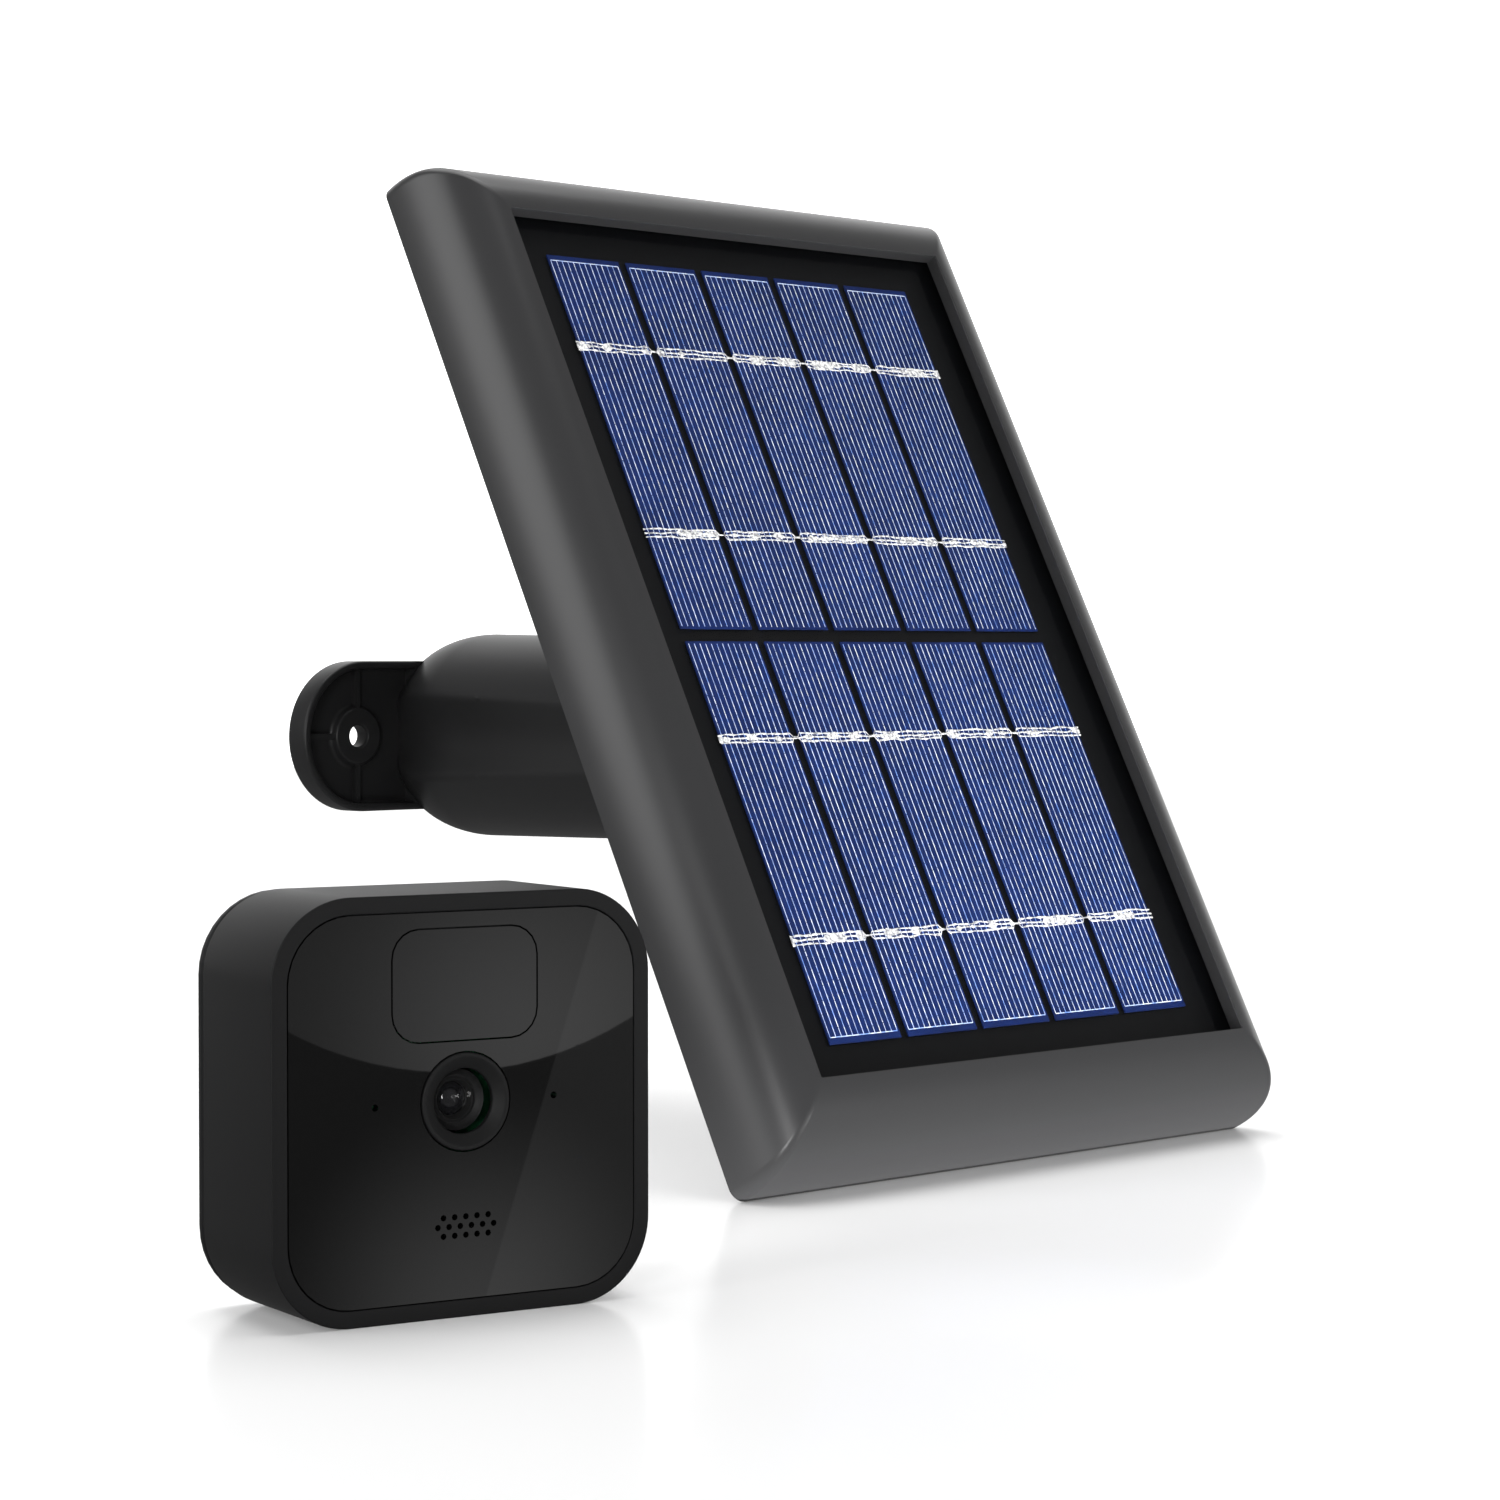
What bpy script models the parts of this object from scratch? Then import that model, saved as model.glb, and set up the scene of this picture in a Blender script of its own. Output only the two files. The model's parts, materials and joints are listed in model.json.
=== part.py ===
"""Solar-powered security camera: a wall bracket with a ball head, a framed solar panel on the
ball's stud, and a battery camera that stands on its own beside them.

Metres, +Z up. The origin is the centre of the bracket's wall face; the arm points along -Y.
"""

import math

import bmesh
import bpy
from mathutils import Vector

# ---------------------------------------------------------------- driving dimensions
GAP = 0.0003  # between pieces that touch
WALL_CLEAR = 0.00035  # around a plate that drops into a recess

# Wall bracket: distances along the arm are measured from the wall face.
ARM_WALL_RADIUS = 0.0175
ARM_RADIUS = 0.0245
ARM_FRONT_RADIUS = 0.0235
ARM_SHOULDER_LENGTH = 0.017
ARM_LENGTH = 0.074
NECK_RADIUS = 0.0175
NECK_END = 0.092
EAR_HOLE_X = 0.0326
EAR_HOLE_RADIUS = 0.0026
EAR_END_RADIUS = 0.0180
EAR_DEPTH = 0.0065
EAR_FLOOR = 0.0023
EAR_RIM = 0.0018
EAR_BOSS_RADIUS = 0.0065
EAR_BOSS_DEPTH = 0.0040
EAR_RIB = 0.0016
SCOOP_RADII = (0.0133, 0.0113)
POCKET_SIZE = (0.0115, 0.0240, 0.0600)
POCKET_X = 0.0090

# Ball head
BALL_AT = 0.0966
BALL_RADIUS = 0.0105
CUP_RADIUS = 0.0140
CUP_START = 0.0843
SEAT_LIP = 0.0057
RING_RADIUS = 0.0215
RING_FRONT_RADIUS = 0.0185
RING_START = 0.0765
RING_END = 0.1040
STUD_RADIUS = 0.003175
STUD_BORE = STUD_RADIUS + GAP
BALL_TO_CELLS = 0.0512
NUT_RADIUS = 0.0110
NUT_THICKNESS = 0.0062

# Solar panel: local z points out of its face, and z = 0 is the front of the cells.
PANEL_LEAN = math.radians(27.44)
PANEL_HALF = (0.08085, 0.1173)
WINDOW_HALF = (0.0673, 0.1006)
PANEL_FRONT = 0.00465
PANEL_BACK = -0.0163
RAIL_POWER = 2.25  # superellipse power of the rail's rounded section
RAIL_STEPS = 9
LIP_UNDER = 0.0014
CAVITY_HALF = (0.0702, 0.1040)
LEDGE_HALF = (0.07785, 0.1143)
LEDGE_AT = -0.0060
LAMINATE_HALF = (0.0698, 0.1036)
SHEET_THICKNESS = 0.00075
CELL_COLUMNS = 5
CELL_ROWS = 2
CELL_SIZE = (0.0209, 0.0910)
CELL_PITCH = (0.02312, 0.0940)
CELL_THICKNESS = 0.0003
BOARD_THICKNESS = 0.0016
GASKET_TOP = -0.0025
GASKET_BOTTOM = -0.0052
GASKET_INNER = (0.0630, 0.0965)
COVER_THICKNESS = 0.0027
COVER_OUTER = PANEL_BACK + GAP
COVER_INNER = COVER_OUTER + COVER_THICKNESS
COVER_RIB_HALF = (0.0660, 0.0990)
COVER_RIB = 0.0015
MOUNT_BOSS_RADIUS = 0.0150
MOUNT_BOSS_FACE = -0.0200
INSERT_RADIUS = 0.0052
INSERT_END = -0.0110
REAR_SCREW_X = 0.0740
REAR_SCREW_Y = 0.1092
REAR_SCREW_HEAD = 0.0029
REAR_SCREW_SHANK = 0.00135
CHARGE_BOARD = (0.0440, 0.0260, 0.0016)
CHARGE_BOARD_AT = (0.0, -0.0520, -0.0104)
GLAND_AT = (0.0, -0.0840)

# Battery camera: local z points out of its face, and z = 0 is the front edge of its shell.
CAMERA_AT = Vector((-0.1849, -0.2239, -0.0558))
CAMERA_TURN = math.radians(-12.4)
CAMERA_SIDE = 0.0710
CAMERA_CORNER = 0.0143
SHELL_DEPTH = 0.0270
CAMERA_DEPTH = 0.0310
SHELL_WALL = 0.0022
PLATE_SIDE = 0.0648
PLATE_CORNER = 0.0112
PLATE_THICKNESS = 0.0018
PLATE_FLOOR = -0.0022
BULKHEAD_BACK = -0.0045
PIR_SIZE = (0.0270, 0.0186)
PIR_CORNER = 0.0048
PIR_Y = 0.0203
LENS_Y = 0.0006
LENS_RING_RADIUS = 0.0082
LENS_WELL_RADIUS = 0.0055
PINHOLE_X = 0.0168
PINHOLE_RADIUS = 0.0006
SPEAKER_Y = -0.0202
GRILLE_ROWS = (5, 6, 5)
GRILLE_PITCH = (0.0021, 0.00155)
GRILLE_HOLE = 0.00055
MAIN_BOARD_BACK = -0.0116
CELL_AA = (0.0070, 0.0494)
BATTERY_Y = 0.0094
BATTERY_Z = -0.0196
COVER_FRONT = -(SHELL_DEPTH + GAP)
USB_AT = (0.0205, -0.0262)
USB_OPENING = (0.0110, 0.0062)
SYNC_AT = (-0.0240, -0.0255)
SEAL_SIDE = 0.0658


# ---------------------------------------------------------------- tools
def clear_scene():
    for obj in list(bpy.data.objects):
        bpy.data.objects.remove(obj)


def collection(name):
    made = bpy.data.collections.new(name)
    bpy.context.scene.collection.children.link(made)
    return made


def material(name, colour, roughness, metallic=0.0, alpha=1.0):
    made = bpy.data.materials.new(name)
    made.use_nodes = True
    shader = made.node_tree.nodes["Principled BSDF"]
    shader.inputs["Base Color"].default_value = (*colour, 1.0)
    shader.inputs["Roughness"].default_value = roughness
    shader.inputs["Metallic"].default_value = metallic
    shader.inputs["Alpha"].default_value = alpha
    return made


clear_scene()
PARTS = collection("solar_security_camera")
CUTTERS = collection("cutters")


def place(obj, parent, at):
    obj.parent = parent
    obj.location = at
    return obj


def from_bmesh(name, mesh_builder, parent, at, finish):
    """Links a bmesh as an object: a part if it has a finish, else a cutter."""
    mesh = bpy.data.meshes.new(name)
    mesh_builder.to_mesh(mesh)
    mesh_builder.free()
    obj = bpy.data.objects.new(name, mesh)
    if finish:
        mesh.materials.append(finish)
        PARTS.objects.link(obj)
    else:
        CUTTERS.objects.link(obj)
        obj.hide_render = True
        obj.display_type = "WIRE"
    return place(obj, parent, at)


def block(name, parent, size, at, finish=None, corner=0.0, segments=4):
    """A box centred on at, with the four edges along its local z rounded to corner."""
    shape = bmesh.new()
    bmesh.ops.create_cube(shape, size=1.0)
    bmesh.ops.scale(shape, vec=size, verts=shape.verts)
    if corner:
        upright = [e for e in shape.edges if abs(e.verts[0].co.z - e.verts[1].co.z) > size[2] / 2]
        bmesh.ops.bevel(
            shape, geom=upright, offset=corner, segments=segments, affect="EDGES", profile=0.5
        )
    return from_bmesh(name, shape, parent, at, finish)


def rod(name, parent, radius, low, high, at, finish=None, segments=24):
    """A cylinder along local z from low to high, centred on the (x, y) of at."""
    shape = bmesh.new()
    bmesh.ops.create_cone(
        shape, cap_ends=True, segments=segments, radius1=radius, radius2=radius, depth=high - low
    )
    return from_bmesh(name, shape, parent, (at[0], at[1], (low + high) / 2), finish)


def turned(name, parent, profile, at=(0, 0, 0), finish=None, steps=32):
    """A profile of (radius, z) points, from top to bottom on its outer side, turned about local z."""
    shape = bmesh.new()
    points = [shape.verts.new((radius, 0.0, z)) for radius, z in profile]
    for first, second in zip(points, points[1:]):
        shape.edges.new((first, second))
    if profile[0][0] > 0:
        shape.edges.new((points[-1], points[0]))
    obj = from_bmesh(name, shape, parent, at, finish)
    screw = obj.modifiers.new("turn", "SCREW")
    screw.steps = steps
    screw.render_steps = steps
    screw.use_merge_vertices = True
    screw.merge_threshold = 0.00001
    screw.use_normal_calculate = False
    return obj


def arc(centre, radius, start, end, steps):
    """Points on a circle in the (radius, z) plane, with angles in degrees from the +radius side."""
    turn = [math.radians(start + (end - start) * i / steps) for i in range(steps + 1)]
    return [(centre[0] + radius * math.cos(a), centre[1] + radius * math.sin(a)) for a in turn]


def cut(obj, *tools):
    combine(obj, "DIFFERENCE", tools)


def join(obj, *tools):
    combine(obj, "UNION", tools)


def combine(obj, operation, tools):
    for tool in tools:
        boolean = obj.modifiers.new(tool.name, "BOOLEAN")
        boolean.operation = operation
        boolean.object = tool
        boolean.solver = "EXACT"


def empty(name, parent, at, rotation=(0.0, 0.0, 0.0)):
    made = bpy.data.objects.new(name, None)
    PARTS.objects.link(made)
    made.empty_display_size = 0.01
    made.rotation_euler = rotation
    return place(made, parent, at)


# ---------------------------------------------------------------- finishes
CHARCOAL = material("charcoal_frame", (0.055, 0.056, 0.058), 0.42)
BRACKET = material("bracket_plastic", (0.030, 0.030, 0.031), 0.45)
NYLON = material("white_nylon", (0.75, 0.74, 0.70), 0.50)
STEEL = material("zinc_steel", (0.62, 0.62, 0.64), 0.32, metallic=1.0)
BRASS = material("brass", (0.78, 0.57, 0.24), 0.30, metallic=1.0)
CLEAR = material("clear_sheet", (0.90, 0.94, 0.98), 0.08, alpha=0.3)
CELL_BLUE = material("cell_blue", (0.030, 0.060, 0.260), 0.30)
BACKING = material("black_backing", (0.012, 0.012, 0.014), 0.35)
FOAM = material("black_foam", (0.030, 0.030, 0.030), 0.90)
BOARD = material("green_board", (0.020, 0.180, 0.070), 0.45)
RUBBER = material("black_rubber", (0.025, 0.025, 0.025), 0.75)
SHELL = material("camera_shell", (0.028, 0.028, 0.030), 0.50)
GLOSS = material("gloss_front", (0.010, 0.010, 0.011), 0.12)
PIR_BLACK = material("pir_black", (0.014, 0.014, 0.015), 0.22)
LENS_BLACK = material("lens_black", (0.012, 0.012, 0.013), 0.30)
LENS_GLASS = material("lens_glass", (0.050, 0.060, 0.090), 0.03, alpha=0.5)
WRAP = material("battery_wrap", (0.180, 0.180, 0.190), 0.35, metallic=0.4)


# ---------------------------------------------------------------- wall bracket
def arm_profile():
    """Outer section of the arm: a rounded shoulder at the wall, a slow taper, then the neck."""
    front = [(0.0, NECK_END), (NECK_RADIUS, NECK_END), (NECK_RADIUS, ARM_LENGTH + 0.002)]
    shoulder = []
    for i in range(6):
        turn = math.radians(90 * (1 - i / 5))
        radius = ARM_WALL_RADIUS + (ARM_RADIUS - ARM_WALL_RADIUS) * math.sin(turn)
        shoulder.append((radius, ARM_SHOULDER_LENGTH * (1 - math.cos(turn))))
    front += [(ARM_FRONT_RADIUS - 0.002, ARM_LENGTH + 0.002), (ARM_FRONT_RADIUS, ARM_LENGTH)]
    return front + shoulder + [(0.0, 0.0)]


def stadium(name, parent, radius, reach, low, high, side):
    """A bar from the arm's axis to x = reach * side with a round end, as one tool."""
    middle = (low + high) / 2
    bar = block(
        name, parent, (reach, 2 * radius, high - low), (side * reach / 2, 0.0, middle)
    )
    end = rod(name + "_end", parent, radius, low, high, (side * reach, 0.0), segments=40)
    join(bar, end)
    return bar


def driver_way(name, parent, side):
    """A cone beside the arm, on the wall screw's axis, that narrows until it leaves the arm."""
    low = EAR_FLOOR + 0.004
    high = ARM_LENGTH
    shape = bmesh.new()
    bmesh.ops.create_cone(
        shape,
        cap_ends=True,
        segments=36,
        radius1=SCOOP_RADII[0],
        radius2=SCOOP_RADII[1],
        depth=high - low,
    )
    return from_bmesh(name, shape, parent, (side * EAR_HOLE_X, 0.0, (low + high) / 2), None)


def add_ear(bracket, arm, side, label):
    ear = stadium(
        f"ear_{label}", arm, EAR_END_RADIUS, EAR_HOLE_X, 0.0, EAR_DEPTH, side
    )
    join(bracket, ear)
    inner = EAR_END_RADIUS - EAR_RIM
    start = 0.0210
    pocket = block(
        f"pocket_{label}",
        arm,
        (EAR_HOLE_X - start, 2 * inner, 0.010),
        (side * (EAR_HOLE_X + start) / 2, 0.0, EAR_FLOOR + 0.005),
    )
    pocket_end = rod(
        f"pocket_end_{label}",
        arm,
        inner,
        EAR_FLOOR,
        EAR_FLOOR + 0.010,
        (side * EAR_HOLE_X, 0.0),
        segments=40,
    )
    join(pocket, pocket_end)
    scoop = driver_way(f"scoop_{label}", arm, side)
    cut(bracket, pocket, scoop)
    # The ring round the hole and its three ribs stand on the pocket's floor.
    boss = rod(
        f"boss_{label}", arm, EAR_BOSS_RADIUS, EAR_FLOOR - 0.001, EAR_BOSS_DEPTH, (
            side * EAR_HOLE_X, 0.0
        )
    )
    upright = block(
        f"rib_upright_{label}",
        arm,
        (EAR_RIB, 2 * inner + 0.001, EAR_BOSS_DEPTH - EAR_FLOOR + 0.001),
        (side * EAR_HOLE_X, 0.0, (EAR_BOSS_DEPTH + EAR_FLOOR - 0.001) / 2 - 0.0002),
    )
    outward = block(
        f"rib_outward_{label}",
        arm,
        (inner + 0.0005, EAR_RIB, EAR_BOSS_DEPTH - EAR_FLOOR + 0.001),
        (side * (EAR_HOLE_X + (inner + 0.0005) / 2), 0.0, (EAR_BOSS_DEPTH + EAR_FLOOR - 0.001) / 2 - 0.0002),
    )
    join(bracket, boss, upright, outward)
    hole = rod(
        f"hole_{label}", arm, EAR_HOLE_RADIUS, -0.002, EAR_DEPTH + 0.002, (side * EAR_HOLE_X, 0.0)
    )
    cut(bracket, hole)


def make_bracket(arm):
    bracket = turned("wall_bracket", arm, arm_profile(), finish=BRACKET, steps=48)
    for side, label in ((-1, "left"), (1, "right")):
        add_ear(bracket, arm, side, label)
    width, height, depth = POCKET_SIZE
    for side, label in ((-1, "left"), (1, "right")):
        hollow = block(
            f"hollow_{label}",
            arm,
            (width, height, depth),
            (side * POCKET_X, 0.0, depth / 2 - 0.001),
            corner=0.003,
        )
        cut(bracket, hollow)
    socket = rod(
        "socket_bore",
        arm,
        CUP_RADIUS + GAP,
        CUP_START - GAP,
        NECK_END + 0.002,
        (0.0, 0.0),
        segments=32,
    )
    cut(bracket, socket)


def make_ball_head(arm):
    seat = BALL_RADIUS + GAP
    seat_cup = arc((0.0, BALL_AT), seat, -90, -3, 8)
    cup = [(CUP_RADIUS, BALL_AT), (CUP_RADIUS, CUP_START), (0.0, CUP_START), *seat_cup]
    # Listed from the ball's mouth, so its stretch on the axis is moved to the profile's ends.
    turned("socket_cup", arm, closed_on_axis(cup), finish=NYLON, steps=32)
    lip = math.degrees(math.asin(SEAT_LIP / seat))
    seat_front = arc((0.0, BALL_AT), seat, lip, 5, 5)
    ring = [
        (seat_front[0][0] + 0.0017, RING_END),
        (RING_FRONT_RADIUS, RING_END),
        (RING_RADIUS, RING_END - 0.004),
        (RING_RADIUS, RING_START),
        (NECK_RADIUS + GAP, RING_START),
        (NECK_RADIUS + GAP, BALL_AT + 0.0006),
        (seat_front[-1][0], BALL_AT + 0.0006 + 0.0002),
        *reversed(seat_front),
    ]
    turned("clamp_ring", arm, ring, finish=BRACKET, steps=40)


def closed_on_axis(points):
    """Reorders a profile with one stretch on the axis so that it runs top to bottom outside."""
    axis_at = [i for i, p in enumerate(points) if p[0] < 1e-9]
    last = axis_at[-1]
    return points[last:] + points[: axis_at[0] + 1] if len(axis_at) > 1 else points


# ---------------------------------------------------------------- solar panel
def ring_points(half, z):
    return [(sx * half[0], sy * half[1], z) for sx, sy in ((1, 1), (-1, 1), (-1, -1), (1, -1))]


def frame_section():
    """Half sizes and heights of the frame's rings, from its back outer edge round to its back
    inner edge. The visible rail is a quarter superellipse from the back to the window edge."""
    rings = []
    for i in range(RAIL_STEPS + 1):
        turn = math.radians(90 * i / RAIL_STEPS)
        across = 1 - math.cos(turn) ** (2 / RAIL_POWER)
        height = math.sin(turn) ** (2 / RAIL_POWER)
        half = [o - (o - w) * across for o, w in zip(PANEL_HALF, WINDOW_HALF)]
        rings.append((half, PANEL_BACK + (PANEL_FRONT - PANEL_BACK) * height))
    rings += [
        (WINDOW_HALF, LIP_UNDER),
        (CAVITY_HALF, LIP_UNDER),
        (CAVITY_HALF, LEDGE_AT),
        (LEDGE_HALF, LEDGE_AT),
        (LEDGE_HALF, PANEL_BACK),
    ]
    return rings


def loft(name, parent, sections, finish):
    """Joins rectangular rings into one closed band, mitred at its four corners."""
    shape = bmesh.new()
    rings = [[shape.verts.new(p) for p in ring_points(half, z)] for half, z in sections]
    for ring, following in zip(rings, rings[1:] + rings[:1]):
        for i in range(4):
            j = (i + 1) % 4
            shape.faces.new((ring[i], ring[j], following[j], following[i]))
    bmesh.ops.recalc_face_normals(shape, faces=shape.faces)
    return from_bmesh(name, shape, parent, (0, 0, 0), finish)


def band(name, parent, outer, inner, low, high, finish=None):
    """A flat rectangular loop between two half sizes."""
    return loft(name, parent, [(outer, low), (outer, high), (inner, high), (inner, low)], finish)


def rear_screw_places():
    return [(x, y) for x in (-REAR_SCREW_X, REAR_SCREW_X) for y in (-REAR_SCREW_Y, 0.0, REAR_SCREW_Y)]


def make_panel(panel):
    frame = loft("panel_frame", panel, frame_section(), CHARCOAL)
    sheet_low = GAP
    block(
        "clear_sheet",
        panel,
        (2 * LAMINATE_HALF[0], 2 * LAMINATE_HALF[1], SHEET_THICKNESS),
        (0, 0, sheet_low + SHEET_THICKNESS / 2),
        CLEAR,
    )
    for row in range(CELL_ROWS):
        for column in range(CELL_COLUMNS):
            x = (column - (CELL_COLUMNS - 1) / 2) * CELL_PITCH[0]
            y = ((CELL_ROWS - 1) / 2 - row) * CELL_PITCH[1]
            block(
                f"solar_cell_{row + 1}_{column + 1}",
                panel,
                (*CELL_SIZE, CELL_THICKNESS),
                (x, y, -CELL_THICKNESS / 2),
                CELL_BLUE,
            )
    board_top = -CELL_THICKNESS - GAP
    block(
        "backing_board",
        panel,
        (2 * LAMINATE_HALF[0], 2 * LAMINATE_HALF[1], BOARD_THICKNESS),
        (0, 0, board_top - BOARD_THICKNESS / 2),
        BACKING,
    )
    band("panel_gasket", panel, LAMINATE_HALF, GASKET_INNER, GASKET_BOTTOM, GASKET_TOP, FOAM)
    cover = make_rear_cover(panel)
    for number, (x, y) in enumerate(rear_screw_places(), 1):
        frame_hole = rod(
            f"frame_hole_{number}",
            panel,
            REAR_SCREW_SHANK + GAP,
            LEDGE_AT - 0.001,
            -0.0008,
            (x, y),
            segments=12,
        )
        cut(frame, frame_hole)
        make_rear_screw(f"rear_screw_{number}", panel, x, y, cover)
    block("charge_board", panel, CHARGE_BOARD, CHARGE_BOARD_AT, BOARD)
    insert = [
        (STUD_BORE, INSERT_END),
        (INSERT_RADIUS, INSERT_END),
        (INSERT_RADIUS, MOUNT_BOSS_FACE + GAP),
        (STUD_BORE, MOUNT_BOSS_FACE + GAP),
    ]
    turned("threaded_insert", panel, insert, finish=BRASS, steps=24)
    make_gland(panel)


def make_rear_cover(panel):
    half = [side - WALL_CLEAR for side in LEDGE_HALF]
    cover = block(
        "rear_cover",
        panel,
        (2 * half[0], 2 * half[1], COVER_THICKNESS),
        (0, 0, COVER_OUTER + COVER_THICKNESS / 2),
        CHARCOAL,
    )
    rib_inner = [side - COVER_RIB for side in COVER_RIB_HALF]
    rib = band(
        "cover_rib", panel, COVER_RIB_HALF, rib_inner, COVER_INNER - 0.001, GASKET_BOTTOM - GAP
    )
    boss = rod(
        "mount_boss",
        panel,
        MOUNT_BOSS_RADIUS,
        MOUNT_BOSS_FACE,
        COVER_INNER - 0.001,
        (0, 0),
        segments=32,
    )
    inner_boss = rod(
        "mount_boss_inner", panel, 0.0085, COVER_INNER - 0.002, INSERT_END + 0.001, (0, 0)
    )
    join(cover, rib, boss, inner_boss)
    for number, x in enumerate((-0.016, 0.016), 1):
        post_top = CHARGE_BOARD_AT[2] - CHARGE_BOARD[2] / 2 - GAP
        post = rod(
            f"board_post_{number}",
            panel,
            0.0022,
            COVER_INNER - 0.001,
            post_top,
            (x, CHARGE_BOARD_AT[1]),
            segments=12,
        )
        join(cover, post)
    bore = rod(
        "insert_bore",
        panel,
        INSERT_RADIUS + GAP,
        MOUNT_BOSS_FACE - 0.001,
        INSERT_END + 0.003,
        (0, 0),
    )
    gland_hole = rod(
        "gland_hole", panel, 0.0043, COVER_OUTER - 0.001, COVER_INNER + 0.001, GLAND_AT
    )
    cut(cover, bore, gland_hole)
    return cover


def make_rear_screw(name, panel, x, y, cover):
    """One self-tapping screw, its sleeve on the cover and the counterbore for its head."""
    sleeve = rod(
        f"{name}_sleeve", panel, 0.0033, COVER_INNER - 0.001, LEDGE_AT - GAP, (x, y), segments=16
    )
    through = rod(
        f"{name}_through",
        panel,
        REAR_SCREW_SHANK + GAP,
        COVER_OUTER - 0.001,
        LEDGE_AT + 0.001,
        (x, y),
        segments=12,
    )
    head_top = COVER_OUTER + 0.0016
    counterbore = rod(
        f"{name}_counterbore",
        panel,
        REAR_SCREW_HEAD + GAP,
        COVER_OUTER - 0.001,
        head_top + GAP,
        (x, y),
        segments=20,
    )
    join(cover, sleeve)
    cut(cover, through, counterbore)
    profile = [
        (0.0, -0.0012),
        (REAR_SCREW_SHANK, -0.0020),
        (REAR_SCREW_SHANK, head_top),
        (REAR_SCREW_HEAD, head_top),
        (REAR_SCREW_HEAD, COVER_OUTER + 0.0003),
        (0.0, COVER_OUTER + 0.0001),
    ]
    turned(name, panel, profile, (x, y, 0.0), STEEL, steps=12)


def make_gland(panel):
    """The rubber outlet for the panel's lead, gripped in a round hole of the rear cover."""
    inside = COVER_INNER + GAP
    outside = COVER_OUTER - GAP
    profile = [
        (0.0018, inside + 0.0010),
        (0.0051, inside + 0.0008),
        (0.0051, inside),
        (0.0040, inside),
        (0.0040, outside),
        (0.0056, outside),
        (0.0050, outside - 0.0016),
        (0.0018, outside - 0.0018),
    ]
    turned("cable_gland", panel, profile, (*GLAND_AT, 0.0), RUBBER, steps=24)


def make_stud(tilt_axis):
    """The ball, its stud and the lock nut, along local z from the ball's centre."""
    bore_floor = 0.0025
    ball = make_ball("ball_head", tilt_axis)
    bore = rod(
        "stud_socket", tilt_axis, STUD_BORE, bore_floor, BALL_RADIUS + 0.002, (0, 0), segments=20
    )
    cut(ball, bore)
    end = BALL_TO_CELLS - 0.0105
    stud = [
        (0.0, end),
        (0.0024, end),
        (STUD_RADIUS, end - 0.0008),
        (STUD_RADIUS, bore_floor + GAP),
        (0.0, bore_floor + GAP),
    ]
    turned("threaded_stud", tilt_axis, stud, finish=STEEL, steps=20)
    nut_top = BALL_TO_CELLS + MOUNT_BOSS_FACE - GAP
    nut_low = nut_top - NUT_THICKNESS
    nut = [
        (STUD_BORE, nut_top),
        (NUT_RADIUS - 0.0006, nut_top),
        (NUT_RADIUS, nut_top - 0.0006),
        (NUT_RADIUS, nut_low + 0.0010),
        (NUT_RADIUS - 0.0010, nut_low),
        (STUD_BORE, nut_low),
    ]
    turned("lock_nut", tilt_axis, nut, finish=BRACKET, steps=24)


def make_ball(name, parent):
    shape = bmesh.new()
    bmesh.ops.create_uvsphere(shape, u_segments=28, v_segments=16, radius=BALL_RADIUS)
    return from_bmesh(name, shape, parent, (0, 0, 0), BRACKET)


# ---------------------------------------------------------------- battery camera
def make_shell(face):
    shell = block(
        "body_shell",
        face,
        (CAMERA_SIDE, CAMERA_SIDE, SHELL_DEPTH),
        (0, 0, -SHELL_DEPTH / 2),
        SHELL,
        CAMERA_CORNER,
        10,
    )
    inner = CAMERA_SIDE - 2 * SHELL_WALL
    room = block(
        "shell_room",
        face,
        (inner, inner, SHELL_DEPTH),
        (0, 0, BULKHEAD_BACK - SHELL_DEPTH / 2),
        corner=CAMERA_CORNER - SHELL_WALL,
        segments=8,
    )
    seat = block(
        "plate_seat",
        face,
        (PLATE_SIDE + 2 * WALL_CLEAR, PLATE_SIDE + 2 * WALL_CLEAR, 0.004),
        (0, 0, PLATE_FLOOR + 0.002),
        corner=PLATE_CORNER + WALL_CLEAR,
        segments=8,
    )
    cut(shell, room, seat)
    pir_hole = block(
        "bulkhead_pir", face, (0.0220, 0.0136, 0.008), (0, PIR_Y, -0.003), corner=0.003
    )
    lens_hole = rod("bulkhead_lens", face, 0.0068, -0.008, 0.001, (0, LENS_Y))
    speaker_hole = block(
        "bulkhead_speaker", face, (0.0140, 0.0060, 0.008), (0, SPEAKER_Y, -0.003), corner=0.002
    )
    cut(shell, pir_hole, lens_hole, speaker_hole)
    for label, x in (("mic", -PINHOLE_X), ("led", PINHOLE_X)):
        cut(shell, rod(f"bulkhead_{label}", face, 0.0013, -0.008, 0.001, (x, LENS_Y), segments=12))
    return shell


def grille_places():
    for row, count in enumerate(GRILLE_ROWS):
        for i in range(count):
            x = (i - (count - 1) / 2) * GRILLE_PITCH[0]
            yield x, SPEAKER_Y + (1 - row) * GRILLE_PITCH[1]


def grille_tool(face):
    """All the speaker's holes as one cutter."""
    shape = bmesh.new()
    for x, y in grille_places():
        made = bmesh.ops.create_cone(
            shape, cap_ends=True, segments=8, radius1=GRILLE_HOLE, radius2=GRILLE_HOLE, depth=0.006
        )
        bmesh.ops.translate(shape, verts=made["verts"], vec=(x, y, -0.001))
    return from_bmesh("grille_holes", shape, face, (0, 0, 0), None)


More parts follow.
